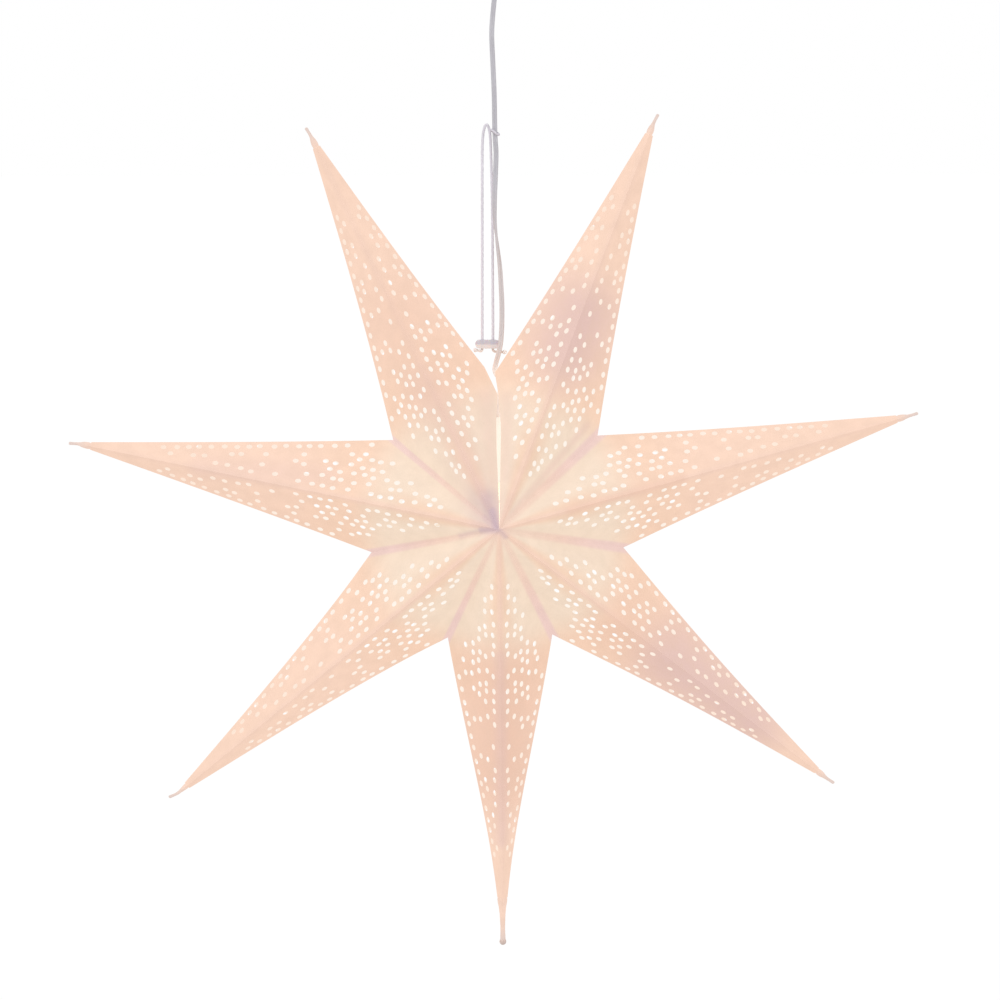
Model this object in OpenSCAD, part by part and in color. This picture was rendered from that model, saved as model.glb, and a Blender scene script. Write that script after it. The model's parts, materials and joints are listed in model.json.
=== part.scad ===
// Seven-pointed paper star lantern that hangs on a two-core cord.
// Millimetres, +Z up, the front of the star faces -Y.
// The origin is the centre of the ceiling bracket's top face, on the ceiling.
// Shapes of the star are worked out about its own centre, which hangs drop below the ceiling.

/* [Star] */
// Radius from the star's centre to the ends of its points
tip_r = 350; // [320:5:400]
// Radius of the inner corners between the points
notch_r = 105; // [98:1:112]
// Height of the raised centre over the star's middle plane, front and back
apex_h = 80; // [72:1:90]
// Thickness of the card
card_t = 0.5; // [0.3:0.1:0.7]
// How far the star's centre hangs below the ceiling
drop = 515; // [510:5:600]
// Turn of the whole star in its own plane, in degrees
roll = 1.6; // [-3:0.1:3]
// Angle that each valley can close, in degrees
valley_close = 4; // [1:0.5:5]
// Length of the folded tail at the end of a point
tail_len = 18; // [12:1:24]
// Length of the longer tail at the end of the lowest point
low_tail_len = 40; // [30:1:44]
// Radius of a tail at its free end
tail_r = 1.3; // [0.9:0.1:1.4]
// Radius of the lowest tail at its free end
low_tail_r = 1.6; // [1.2:0.1:1.8]
// Diameter of the bead on the lowest tail
bead_d = 5.6; // [5:0.2:8]

/* [Perforation] */
// Diameter of a punched hole
hole_d = 4.8; // [3:0.1:4.8]
// Step between holes along a row
hole_step = 9.8; // [9.8:0.1:11]
// Step between rows, counted out from the ridge
row_step = 9.4; // [9.2:0.1:11]
// Distance of the first row from the ridge
ridge_row = 10.4; // [9.6:0.1:11]
// Distance of the last row from the outer edge
row_edge = 5.4; // [5:0.1:6.2]
// Distance between the two rows along the outer edge
edge_step = 9; // [9:0.1:9.8]
// Bare band along each side of a valley
valley_bare = 17.5; // [14:0.5:20]
// Bare length at the raised centre
centre_bare = 42; // [40:1:60]
// Bare length at the end of a point
end_bare = 76; // [70:1:100]

/* [Cord and string] */
// Width of the cord
cord_d = 4; // [3:0.1:4.2]
// Thickness of the string
string_d = 2; // [1.4:0.1:2.2]
// Length of the slider bar
slider_w = 19.6; // [18:0.2:21]
// Height of the slider bar
slider_h = 7; // [5:0.2:9]
// Depth of the slider bar, front to back
slider_t = 4.6; // [4:0.1:4.6]
// Diameter of the two holes through the slider bar
slider_hole_d = 3.2; // [3:0.1:3.4]
// Diameter of the knots at the feet of the string
knot_d = 3.4; // [2.6:0.1:3.6]

/* [Lampholder and lamp] */
// Outer radius of the lampholder
holder_r = 14; // [13:0.5:16]
// Wall of the lampholder's shells
holder_wall = 1.5; // [1.2:0.1:1.8]
// Length of the lampholder's lower shell
holder_len = 28; // [27:0.5:30]
// Length of the lampholder's cap
cap_len = 24; // [22:0.5:28]
// Radius of the lamp's screw cap
lamp_cap_r = 6.95; // [6.8:0.05:7]
// Clearance round the lamp's screw cap
lamp_cap_gap = 0.25; // [0.2:0.05:0.4]
// Radius of the lamp's globe
globe_r = 22.5; // [20:0.5:24]
// Thickness of the glass
glass_t = 0.8; // [0.6:0.1:1.2]

/* [Ceiling fitting] */
// Radius of the ceiling cup at its rim
cup_r = 45; // [42:1:55]
// Height of the ceiling cup
cup_h = 55; // [50:1:60]
// Wall of the ceiling cup
cup_wall = 1.6; // [1.2:0.1:2]
// Distance between the two ceiling screw holes
bracket_pitch = 60; // [54:1:64]
// Radius of a ceiling screw hole
bracket_hole_r = 2.25; // [1.8:0.05:2.75]
// Thickness of the ceiling bracket
bracket_t = 1.5; // [1.2:0.1:2]
// Length of the cord grip below the cup
grip_len = 22; // [18:1:24]
// Radius of the cord grip's threaded neck
grip_neck_r = 5; // [4.5:0.1:5.5]

/* [Hidden] */

$fn = 48;
eps = 0.01;

// Small departures of a hand-folded star from even spacing, in degrees.
// The lowest point comes first and the rest follow counterclockwise, seen from the front.
tip_lean = [-0.8, -1.6, -0.6, 2.6, -1.5, 1.0, 0.7];
notch_lean = [-0.9, -1.0, -1.7, 0, 0, -0.1, 1.9];
points = len(tip_lean);
// The open seam lies between these two points
seam_right = 3;
seam_left = 4;
// Corners of the two seam edges in the star's plane, X and Z, as shares of the notch radius
left_corner = [-0.090, 1.167] * notch_r;
left_low = [0.002, 0.962] * notch_r;
right_corner = [-0.015, 1.130] * notch_r;
right_low = [0.031, 1.010] * notch_r;
// Height on the outer edge where the rear seam edge starts, so that the cord can enter
rear_cut = 1.268 * notch_r;

// Each panel stops this much short of its valley, in degrees, and the flap goes on under it
panel_short = valley_close / 2 + 0.15;
flap_reach = panel_short + 2.2;
// A flap runs over this share of its valley, counted out from the centre
flap_from = 0.2;
flap_to = 0.95;
// Edges of the panels stand back from the folds by this much, so that card meets card
fold_gap = 0.65 * card_t + 0.02;

// Directions and frames

function unit(v) = v / norm(v);
function polar(r, a) = [r * cos(a), 0, r * sin(a)];
function tip_az(k) = -90 + roll + 360 / points * k + tip_lean[(k + points) % points];
function notch_az(k) = (tip_az(k) + tip_az(k + 1)) / 2 + notch_lean[(k + points) % points];
function is_seam(k, side) = (k == seam_right && side > 0) || (k == seam_left && side < 0);
function tip(k) = polar(tip_r, tip_az(k));
function flat(p) = [p[0], 0, p[1]];
function notch(k, side) =
    !is_seam(k, side) ? polar(notch_r, notch_az(side > 0 ? k : k - 1)) :
    side > 0 ? flat(right_corner) : flat(left_corner);

// Axes of a panel's own plane: along its ridge, across it towards the valley, and its normal
function axes(c, t, n) = let(
    u = unit(t - c),
    w = unit(cross(u, n - c))
) [u, cross(w, u), w];
function in_plane(f, c, p) = [(p - c) * f[0], (p - c) * f[1]];
// Point of the panel's plane over the star's plane at X and Z
function lift(f, c, p) = [p[0], c[1] - (f[2][0] * (p[0] - c[0]) + f[2][2] * (p[1] - c[2])) / f[2][1], p[1]];
// Point of the outer edge, from notch to tip, that lies in direction a from the centre
function edge_at(n, t, a) = let(
    d = polar(1, a),
    s = (n[2] * d[0] - n[0] * d[2]) / ((t[0] - n[0]) * d[2] - (t[2] - n[2]) * d[0])
) n + s * (t - n);
function edge_at_height(n, t, z) = n + (z - n[2]) / (t[2] - n[2]) * (t - n);

// Polygon with each edge moved inwards by d, for corners that run counterclockwise
function inset(p, d) = [
    for (i = [0 : len(p) - 1])
        let(
            a = p[(i + len(p) - 1) % len(p)],
            b = p[i],
            c = p[(i + 1) % len(p)],
            u = unit(b - a),
            v = unit(c - b),
            m = [-u[1], u[0]],
            n = [-v[1], v[0]]
        )
        b + (m + n) * d / (1 + m * n)
];

// Perforation

function noise(i, j, k) = let(x = sin(127.1 * i + 311.7 * j + 74.7 * k) * 43758.5453) x - floor(x);
function side_of(p, a, b) = let(d = unit(b - a)) d[0] * (p[1] - a[1]) - d[1] * (p[0] - a[0]);
function frac(x) = x - floor(x);
// True for the dots that are kept of a row, at a share from 0 to 1
function kept(i, j, share) = 0.6 * frac(0.618 * i + 0.29 * j) + 0.4 * noise(i, j, 3) < share;
// Two rows along the outer edge, from the end of the point to the notch
function edge_rows(t, n, shift) = let(
    e = unit(n - t),
    m = [-e[1], e[0]],
    l = norm(n - t)
) [
    for (j = [0 : 1])
        for (i = [0 : floor(l / hole_step)])
            let(
                s = end_bare + hole_step * (i + 0.5 * j + shift) + 2.8 * (noise(i, 7 + j, 1) - 0.5),
                d = row_edge + edge_step * j + (1.2 + 1.6 * j) * (noise(i, 7 + j, 2) - 0.5),
                p = t + s * e + d * m
            )
            if (s < (0.985 + 0.04 * j) * l && p[1] > 7 && side_of(p, n, [0, 0]) > valley_bare - 2
                && kept(i, 7 + j, 0.86 - 0.26 * j)) p
];
// Share of the dots kept in row j at x, which is 0 at the end of the point and 1 at the notch
function keep_share(j, x) = x > 0.72 ? 0.76 : j == 0 ? 0.5 : 0.46;
// The other rows run beside the ridge; they are fullest at the notch and keep off the valley
function ridge_rows(t, n, shift) = let(
    e = unit(n - t),
    m = [-e[1], e[0]],
    l = norm(n - t)
) [
    for (j = [0 : floor(norm(n) / row_step)])
        for (i = [0 : floor(norm(t) / hole_step)])
            let(
                p = [
                    centre_bare + hole_step * (i + 0.5 * (j % 2) + shift) + 4.2 * (noise(i, j, 1) - 0.5),
                    ridge_row + row_step * j + 3.6 * (noise(i, j, 2) - 0.5)
                ],
                s = (p - t) * e
            )
            if ((p - t) * m > row_edge + edge_step + 5.8 && side_of(p, n, [0, 0]) > valley_bare
                && norm(p) > centre_bare && s > end_bare && kept(i, j, keep_share(j, s / l))) p
];
// The rear holes lie half a step further out than the front ones
function holes(t, n, face) = let(shift = face > 0 ? 0.5 : 0)
    concat(edge_rows(t, n, shift), ridge_rows(t, n, shift));

// A flat plate of card in the panel's plane, from height w0 to w1 over it
module plate(f, c, w0, w1) {
    multmatrix([
        [f[0][0], f[1][0], f[2][0], c[0]],
        [f[0][1], f[1][1], f[2][1], c[1]],
        [f[0][2], f[1][2], f[2][2], c[2]],
        [0, 0, 0, 1]
    ])
    translate([0, 0, w0])
    linear_extrude(w1 - w0) children();
}

module at_star() {
    translate([0, 0, -drop]) children();
}

function tail_of(k) = k == 0 ? low_tail_len : tail_len;
function tail_r_of(k) = k == 0 ? low_tail_r : tail_r;

// One flat panel of a point: side 1 is counterclockwise of the ridge, face -1 is the front
module panel(k, side, face) {
    c = [0, face * apex_h, 0];
    t = tip(k);
    n = notch(k, side);
    f = axes(c, t, n);
    seam = is_seam(k, side);
    valley = notch_az(side > 0 ? k : k - 1);
    corner = seam && side > 0 && face > 0 ? edge_at_height(n, t, rear_cut) :
        seam ? n : edge_at(n, t, valley - side * panel_short);
    low = side > 0 ? right_low : left_low;
    cut = 1 - tail_of(k) / tip_r;
    t2 = in_plane(f, c, t);
    n2 = in_plane(f, c, n);
    inner = [
        [0, 0],
        t2 * cut,
        in_plane(f, c, corner + (t - corner) * (1 - tail_of(k) / norm(t - corner))),
        in_plane(f, c, corner)
    ];
    outline = seam ? concat(inner, [in_plane(f, c, lift(f, c, low))]) : inner;
    plate(f, c, -card_t / 2, card_t / 2)
    difference() {
        polygon(inset(outline, fold_gap));
        for (p = holes(t2, n2, face)) translate(p) circle(d = hole_d, $fn = 16);
    }
}

// Half width and half depth of a point per millimetre from its end
end_width = notch_r * sin(180 / points) / (tip_r - notch_r * cos(180 / points));
end_depth = apex_h / tip_r;
// Radius that fits in the mouth of a point which is cut off at length l from its end
function mouth_r(l) =
    l * end_width * end_depth / norm([end_width, end_depth]) - card_t / 2 - 0.5;

// Depth of the blind hole in the bead that the lowest tail is glued into
bead_hole = 2.4;

// The doubled, twisted end of a point: a crimped root in the mouth and a thin tail
module tail(k) {
    l = tail_of(k);
    r = tail_r_of(k);
    end = l - (k == 0 ? bead_d - bead_hole : 0);
    rotate([0, -tip_az(k), 0])
    translate([tip_r - l, 0, 0])
    rotate([0, 90, 0])
    turned([
        [0, -2], [mouth_r(l) - 0.4, -2], [mouth_r(l), 0], [r * 1.3, 0.35 * l],
        [r, 0.7 * l], [r, end], [0, end]
    ]);
}

module point(k) {
    color([0.98, 0.88, 0.80])
    at_star() {
        for (side = [-1, 1])
            for (face = [-1, 1]) panel(k, side, face);
        tail(k);
    }
}

// Half of a glued flap: a strip on the inner face of one panel, from the valley out
module half_flap(k, side, face) {
    c = [0, face * apex_h, 0];
    t = tip(k);
    n = notch(k, side);
    f = axes(c, t, n);
    valley = notch_az(side > 0 ? k : k - 1);
    q = edge_at(n, t, valley - side * flap_reach);
    n2 = in_plane(f, c, n);
    q2 = in_plane(f, c, q);
    past = unit(n2 - q2) * 1.2 * card_t;
    w = -sign(face * f[2][1]) * card_t / 2;
    plate(f, c, min(w, 3 * w), max(w, 3 * w))
    polygon([n2 * flap_from + past, q2 * flap_from, q2 * flap_to, n2 * flap_to + past]);
}

// The two glued flaps of the valley after point k, front and rear
module valley_flap(k) {
    color([0.90, 0.76, 0.72])
    at_star()
    for (face = [-1, 1])
        union() {
            half_flap(k, 1, face);
            half_flap((k + 1) % points, -1, face);
        }
}

module tail_bead() {
    color([0.86, 0.82, 0.80])
    at_star()
    rotate([0, -tip_az(0), 0])
    translate([tip_r - bead_d / 2, 0, 0])
    rotate([0, 90, 0])
    difference() {
        sphere(d = bead_d);
        translate([0, 0, -bead_d]) cylinder(h = bead_d / 2 + bead_hole, r = low_tail_r);
    }
}

// Cord and string, as tubes swept along points about the star's centre

// Top of the lampholder's cap, its lower edge and the clamp in it that holds the cord
cap_top = 82;
shell_top = cap_top - cap_len;
clamp_z = shell_top + 6;
clamp_h = 4;
// Route of the cord from the lampholder's clamp up to the mouth of the ceiling grip
grip_mouth = drop - cup_h - grip_len;
cord_route = [
    [0, 0, clamp_z], [0, 0, cap_top - 8], [0, 0, cap_top + 2], [0.8, 0.6, 92],
    [2.2, 2, 100], [2.9, 3.2, 107], [1.4, 3.9, 113], [-1.6, 3.6, 119],
    [-0.6, 2, 126], [1.4, -0.9, 134], [3, -1.7, 143],
    [3.8, -1.9, 156], [3.9, -1.9, 172], [3.2, -1.8, 188], [2.2, -1.8, 204],
    [0.6, -1.7, 218], [-0.8, -1.7, 230], [-1.8, -1.7, 242], [-1.9, -1.7, 258],
    [-1.3, -1.7, 276], [-0.8, -1.7, 294], [-1.5, -1.7, 306], [-1.9, -1.6, 318],
    [-2.3, -1.2, 342], [-3.4, -0.7, 368], [-4.2, -0.3, 388],
    [-3.6, -0.1, 402], [-1.8, 0, grip_mouth - 18], [-0.5, 0, grip_mouth - 7], [0, 0, grip_mouth]
];
// The string rises from the left foot, over the loop's top and down to the right foot
string_y = 3;
strand_left_x = -11.8;
strand_right_x = -3.2;
strand_foot_z = notch_r + 32;
strand_step = 22;
loop_top_z = 317;
string_route = concat(
    [for (i = [0 : 7]) [strand_left_x, string_y, strand_foot_z + strand_step * i]],
    [
        [-11.6, 3, 302], [-11, 3, 310], [-9.7, 3, 315.4], [-8.3, 3, loop_top_z],
        [-6.9, 3, 315.2], [-5.6, 3, 309.6], [-5, 3, 300], [-4.5, 3, 284], [-4, 3, 266]
    ],
    [
        for (i = [5 : -1 : 0])
            [strand_right_x - 0.12 * max(i - 1, 0), string_y, strand_foot_z + strand_step * i]
    ]
);
// The knots sit on the outer edges of the two points beside the seam
function knot_at(k, side, z) = let(
    n = notch(k, side),
    d = unit(tip(k) - n)
) edge_at_height(n, tip(k), z) + side * [-d[2], 0, d[0]] * (knot_d / 2 + 0.1);
knot_left_at = knot_at(seam_left, -1, strand_foot_z - 2);
knot_right_at = knot_at(seam_right, 1, strand_foot_z - 3.6);
// Each foot leaves its strand straight down, then bends to its knot
foot_left_route = [
    [strand_left_x, string_y, strand_foot_z], [strand_left_x, string_y, strand_foot_z - 0.6],
    [-12.2, 2.9, strand_foot_z - 1.6], [-13.2, 2.4, strand_foot_z - 2], knot_left_at + [1.6, 1.2, -0.3]
];
foot_right_route = [
    [strand_right_x, string_y, strand_foot_z], [strand_right_x, string_y, strand_foot_z - 0.6],
    [-3, 3.5, strand_foot_z - 1.6], [-1.6, 4.2, strand_foot_z - 2.6],
    [2, 3.8, strand_foot_z - 2.8], knot_right_at + [-1.1, 1.7, -0.1]
];

function tangent(p, i) = unit(p[min(i + 1, len(p) - 1)] - p[max(i - 1, 0)]);
// Ring of s corners square to the route, turned the same way at each of its points
function ring(c, d, r, s) = let(
    a = unit(cross([0, 1, 0], d)),
    b = cross(d, a)
) [for (i = [0 : s - 1]) c + r * (cos(360 * i / s) * a + sin(360 * i / s) * b)];
module tube(p, d, s = 8) {
    rings = [for (i = [0 : len(p) - 1]) each ring(p[i], tangent(p, i), d / 2, s)];
    last = len(p) - 1;
    polyhedron(
        rings,
        concat(
            [[for (i = [0 : s - 1]) i]],
            [[for (i = [s - 1 : -1 : 0]) last * s + i]],
            [
                for (k = [0 : last - 1])
                    for (i = [0 : s - 1])
                        let(a = k * s + i, b = k * s + (i + 1) % s)
                        each [[a, a + s, b + s], [a, b + s, b]]
            ]
        )
    );
}

module cord() {
    color([0.93, 0.93, 0.94])
    at_star() tube(cord_route, cord_d);
}

module string_loop() {
    color([0.92, 0.91, 0.92])
    at_star() tube(string_route, string_d);
}

// One turn of string round the cord, which ties the loop's shank to it
hitch_z = 311;
hitch_tilt = 30;
module string_hitch() {
    color([0.84, 0.83, 0.88])
    at_star()
    translate([-1.7, -1.65, hitch_z])
    rotate([0, hitch_tilt, 0])
    rotate_extrude()
    translate([(cord_d / 2 + 0.25) / cos(hitch_tilt) + string_d / 2, 0])
    circle(d = string_d);
}

module string_foot_left() {
    color([0.92, 0.91, 0.92])
    at_star() tube(foot_left_route, string_d);
}

module string_foot_right() {
    color([0.92, 0.91, 0.92])
    at_star() tube(foot_right_route, string_d);
}

module knot(at) {
    color([0.90, 0.89, 0.90])
    at_star() translate(at) sphere(d = knot_d);
}

// Bar with two holes that slides on the string and closes the seam
module slider_bar() {
    mid_x = (strand_left_x + strand_right_x - 0.25) / 2;
    z0 = strand_foot_z + 0.1;
    color([0.88, 0.86, 0.88])
    at_star()
    difference() {
        translate([mid_x - slider_w / 2, string_y - slider_t / 2, z0])
        intersection() {
            cube([slider_w, slider_t, slider_h]);
            union() {
                for (x = [slider_h / 2, slider_w - slider_h / 2])
                    translate([x, -eps, slider_h / 2])
                    rotate([-90, 0, 0])
                    cylinder(h = slider_t + 2 * eps, d = slider_h);
                translate([slider_h / 2, -eps, 0])
                cube([slider_w - slider_h, slider_t + 2 * eps, slider_h]);
            }
        }
        for (x = [strand_left_x, strand_right_x - 0.25])
            translate([x, string_y, z0 - 1]) cylinder(h = slider_h + 2, d = slider_hole_d);
    }
}

// Lampholder, about the star's centre, with the lamp hanging cap up

shell_low = shell_top - holder_len;
inner_r = holder_r - holder_wall;
cord_hole_r = cord_d / 2 + 0.4;
sleeve_r = lamp_cap_r + lamp_cap_gap;
sleeve_t = 0.5;
insert_t = 10;
insert_low = shell_top - 1 - insert_t;
lip = 1.6;
contact_r = 1.6;
terminal_x = 6.5;
core_r = 0.9;

module turned(pts) {
    rotate_extrude() polygon(pts);
}

module holder_cap() {
    neck_r = cord_hole_r + 3.2;
    color([0.95, 0.94, 0.92])
    at_star()
    turned([
        [holder_r, shell_top], [holder_r, shell_top + cap_len * 0.42],
        [neck_r, cap_top - 1.5], [neck_r - 0.8, cap_top], [cord_hole_r, cap_top],
        [cord_hole_r, cap_top - 3], [neck_r - 1.5, cap_top - 4.5],
        [inner_r, shell_top + cap_len * 0.42 - 0.8], [inner_r, shell_top]
    ]);
}

// Bar across the cap with a hole that nips the cord
module cord_clamp() {
    w = 2 * (inner_r - 0.75);
    color([0.86, 0.86, 0.84])
    at_star()
    difference() {
        translate([-w / 2, -3, clamp_z]) cube([w, 6, clamp_h]);
        translate([0, 0, clamp_z - 1]) cylinder(h = clamp_h + 2, r = cord_hole_r);
        for (x = [-terminal_x, terminal_x])
            translate([x, 0, clamp_z - 1]) cylinder(h = clamp_h + 2, r = 1.3);
    }
}

module clamp_screws() {
    color([0.78, 0.78, 0.80])
    at_star()
    for (x = [-terminal_x, terminal_x])
        translate([x, 0, clamp_z - 2.5]) {
            cylinder(h = clamp_h + 2.5, r = 1.2);
            translate([0, 0, clamp_h + 2.5]) cylinder(h = 1.4, r = 2.3);
        }
}

// Bared ends of the two cores, from the cord's end to the terminal screws
module holder_cores() {
    drop_to = shell_top + 1.2;
    color([0.80, 0.45, 0.25])
    at_star()
    for (s = [-1, 1])
        translate([s * 1.05, 0, drop_to]) cylinder(h = clamp_z - 0.05 - drop_to, r = core_r);
}

module holder_insert() {
    color([0.92, 0.90, 0.86])
    at_star()
    difference() {
        translate([0, 0, insert_low]) cylinder(h = insert_t, r = inner_r - 0.15);
        translate([0, 0, insert_low - 1]) cylinder(h = insert_t + 2, r = contact_r + 0.1);
        for (x = [-terminal_x, terminal_x])
            translate([x, 0, insert_low + 4]) cylinder(h = insert_t, r = 1.4);
    }
}

module terminal_screws() {
    color([0.80, 0.70, 0.45])
    at_star()
    for (x = [-terminal_x, terminal_x])
        translate([x, 0, insert_low + 4.2]) {
            cylinder(h = insert_t - 4.2, r = 1.3);
            translate([0, 0, insert_t - 4.2]) cylinder(h = 1.6, r = 2.6);
        }
}

// Sprung contact in the middle, with a head on the insert and a tip over the lamp's foot
lamp_foot_top = insert_low - 2;
module centre_contact() {
    color([0.80, 0.70, 0.45])
    at_star() {
        translate([0, 0, lamp_foot_top + 0.3])
        cylinder(h = insert_low + insert_t - lamp_foot_top - 0.3, r = contact_r);
        translate([0, 0, insert_low + insert_t]) cylinder(h = 0.9, r = 3);
    }
}

module screw_sleeve() {
    color([0.82, 0.72, 0.46])
    at_star()
    turned([
        [sleeve_r, shell_low + lip + 0.4], [sleeve_r + sleeve_t, shell_low + lip + 0.4],
        [sleeve_r + sleeve_t, insert_low - 0.7], [inner_r - 0.3, insert_low - 0.7],
        [inner_r - 0.3, insert_low], [sleeve_r, insert_low]
    ]);
}

module holder_body() {
    color([0.95, 0.94, 0.92])
    at_star()
    turned([
        [holder_r, shell_top], [inner_r, shell_top], [inner_r, shell_low + lip],
        [sleeve_r + 0.6, shell_low + lip], [sleeve_r + 0.6, shell_low],
        [holder_r - 1.2, shell_low], [holder_r - 0.6, shell_low + 2]
    ]);
}

// Lamp: foot, insulator and threaded cap above, glass globe below

lamp_cap_t = 0.4;
foot_h = 0.8;
insulator_h = 1.3;
lamp_cap_top = lamp_foot_top - foot_h - insulator_h;
lamp_cap_low = shell_low + 0.5;
neck_r = lamp_cap_r - lamp_cap_t - 0.15;
globe_z = 1;

module lamp_foot() {
    color([0.75, 0.75, 0.72])
    at_star()
    translate([0, 0, lamp_foot_top - foot_h]) cylinder(h = foot_h, r = 2.4);
}

module lamp_insulator() {
    color([0.15, 0.14, 0.16])
    at_star()
    translate([0, 0, lamp_cap_top]) cylinder(h = insulator_h, r1 = lamp_cap_r - 1, r2 = 3);
}

module lamp_cap() {
    color([0.85, 0.80, 0.62])
    at_star()
    turned([
        [lamp_cap_r, lamp_cap_low], [lamp_cap_r, lamp_cap_top - 0.8],
        [lamp_cap_r - 1, lamp_cap_top], [lamp_cap_r - 2, lamp_cap_top],
        [lamp_cap_r - 2, lamp_cap_top - 0.5], [lamp_cap_r - lamp_cap_t, lamp_cap_top - 1.2],
        [lamp_cap_r - lamp_cap_t, lamp_cap_low]
    ]);
}

// Outline of the glass from its neck down round the globe, at distance t inside the surface
neck_top = lamp_cap_top - 2;
shoulder = 52;
function globe(t) = [
    for (a = [shoulder : -6 : -90]) [(globe_r - t) * max(cos(a), 0), globe_z + (globe_r - t) * sin(a)]
];
module lamp_glass() {
    color([1, 0.97, 0.90, 0.5])
    at_star()
    turned(concat(
        [[neck_r, neck_top], [neck_r, lamp_cap_low - 1], [neck_r + 2.6, lamp_cap_low - 6]],
        [for (p = globe(0)) p],
        [for (i = [len(globe(glass_t)) - 1 : -1 : 0]) globe(glass_t)[i]],
        [
            [neck_r + 1.8, lamp_cap_low - 6],
            [neck_r - glass_t, lamp_cap_low - 1],
            [neck_r - glass_t, neck_top]
        ]
    ));
}

// Glass stem that closes the neck and carries the filaments
stem_low = 12;
module lamp_stem() {
    color([0.95, 0.95, 0.92])
    at_star() {
        translate([0, 0, neck_top - 5]) cylinder(h = 3, r = neck_r - glass_t - 0.15);
        translate([0, 0, stem_low]) cylinder(h = neck_top - 5 - stem_low, r = 1.5);
    }
}

plate_r = 6.6;
filament_r = 0.8;
filament_ring_r = 5.4;
filament_len = 24;
module filament_plate() {
    color([0.78, 0.78, 0.80])
    at_star()
    translate([0, 0, stem_low + 1])
    difference() {
        cylinder(h = 0.6, r = plate_r);
        translate([0, 0, -1]) cylinder(h = 3, r = 1.6);
    }
}

module lamp_filaments() {
    color([1, 0.85, 0.45])
    at_star()
    for (a = [45 : 90 : 315])
        rotate([0, 0, a])
        translate([filament_ring_r, 0, stem_low + 1 - filament_len])
        cylinder(h = filament_len, r = filament_r);
}

// Ceiling fitting, measured down from the ceiling

rim_gap = 0.5;
ear_x = cup_r - cup_wall - 3;
ear_t = 2;
ear_drop = 16;
side_screw_z = -10;
grip_top = -cup_h;
grip_flange_t = 2;
neck_len = 9;
block_z = -30;
block_h = 14;
block_w = 24;
block_d = 12;
core_y = 0;

module ceiling_bracket() {
    color([0.80, 0.80, 0.82])
    difference() {
        union() {
            translate([-ear_x - 0.5, -9, -bracket_t]) cube([2 * ear_x + 1, 18, bracket_t]);
            for (s = [-1, 1])
                translate([s > 0 ? ear_x - 1.5 : -ear_x - 0.5, -6, -ear_drop])
                cube([ear_t, 12, ear_drop - bracket_t + eps]);
            translate([-4, -3, block_z + block_h]) cube([8, 6, -bracket_t - block_z - block_h + eps]);
        }
        for (s = [-1, 1]) {
            translate([s * bracket_pitch / 2, 0, -bracket_t - 1])
                cylinder(h = bracket_t + 2, r = bracket_hole_r);
            translate([s * (ear_x - 4), 0, side_screw_z]) rotate([0, s * 90, 0]) cylinder(h = 8, r = 1.6);
        }
    }
}

module ceiling_cup() {
    color([0.96, 0.96, 0.95])
    difference() {
        turned([
            [cup_r, -rim_gap], [cup_r - cup_wall, -rim_gap],
            [cup_r - cup_wall - 2, -cup_h * 0.62], [cup_r * 0.72, -cup_h * 0.84],
            [cup_r * 0.3, -cup_h + cup_wall], [grip_neck_r + 0.1, -cup_h + cup_wall],
            [grip_neck_r + 0.1, -cup_h], [cup_r * 0.3 + 0.6, -cup_h],
            [cup_r * 0.72 + 1, -cup_h * 0.84 - cup_wall * 0.9], [cup_r - 1.8, -cup_h * 0.64]
        ]);
        for (s = [-1, 1])
            translate([s * (cup_r - 6), 0, side_screw_z]) rotate([0, s * 90, 0]) cylinder(h = 10, r = 1.7);
    }
}

module cup_screws() {
    color([0.82, 0.82, 0.84])
    for (s = [-1, 1])
        translate([s * (ear_x - 3), 0, side_screw_z])
        rotate([0, s * 90, 0]) {
            cylinder(h = cup_r + 0.3 - (ear_x - 3), r = 1.5);
            translate([0, 0, cup_r + 0.3 - (ear_x - 3)]) cylinder(h = 1.6, r = 3);
        }
}

// Strain relief: a threaded neck through the cup, a flange below and a tapered sleeve
module cord_grip() {
    r = cord_hole_r;
    color([0.95, 0.95, 0.94])
    difference() {
        turned([
            [r, grip_top + neck_len], [grip_neck_r, grip_top + neck_len], [grip_neck_r, grip_top - 0.1],
            [8, grip_top - 0.1], [8, grip_top - 0.1 - grip_flange_t],
            [6.4, grip_top - grip_flange_t - 4], [r + 1.4, grip_top - grip_len],
            [r, grip_top - grip_len]
        ]);
        translate([0, 0, grip_top - 5]) rotate([90, 0, 0]) cylinder(h = 12, r = 1.6);
    }
}

module grip_nut() {
    color([0.90, 0.90, 0.88])
    translate([0, 0, grip_top + cup_wall + 0.1])
    difference() {
        cylinder(h = 4, r = 8.5, $fn = 6);
        translate([0, 0, -1]) cylinder(h = 6, r = grip_neck_r + 0.1, $fn = 48);
    }
}

module grip_screw() {
    color([0.85, 0.85, 0.84])
    translate([0, 0, grip_top - 5])
    rotate([90, 0, 0])
    translate([0, 0, cord_d / 2 + 0.3])
    cylinder(h = 6.2, r = 1.5);
}

module terminal_block() {
    color([0.92, 0.92, 0.88])
    difference() {
        translate([-block_w / 2, -block_d / 2, block_z]) cube([block_w, block_d, block_h - 0.1]);
        for (x = [-6, 6]) {
            translate([x, core_y, block_z - 1]) cylinder(h = block_h + 2, r = 1.6);
            translate([x, core_y, block_z + block_h / 2]) rotate([90, 0, 0]) cylinder(h = block_d, r = 1.7);
        }
    }
}

module block_screws() {
    color([0.80, 0.70, 0.45])
    for (x = [-6, 6])
        translate([x, core_y - core_r - 0.15, block_z + block_h / 2])
        rotate([90, 0, 0])
        cylinder(h = block_d / 2 - core_r - 0.5, r = 1.5);
}

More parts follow.
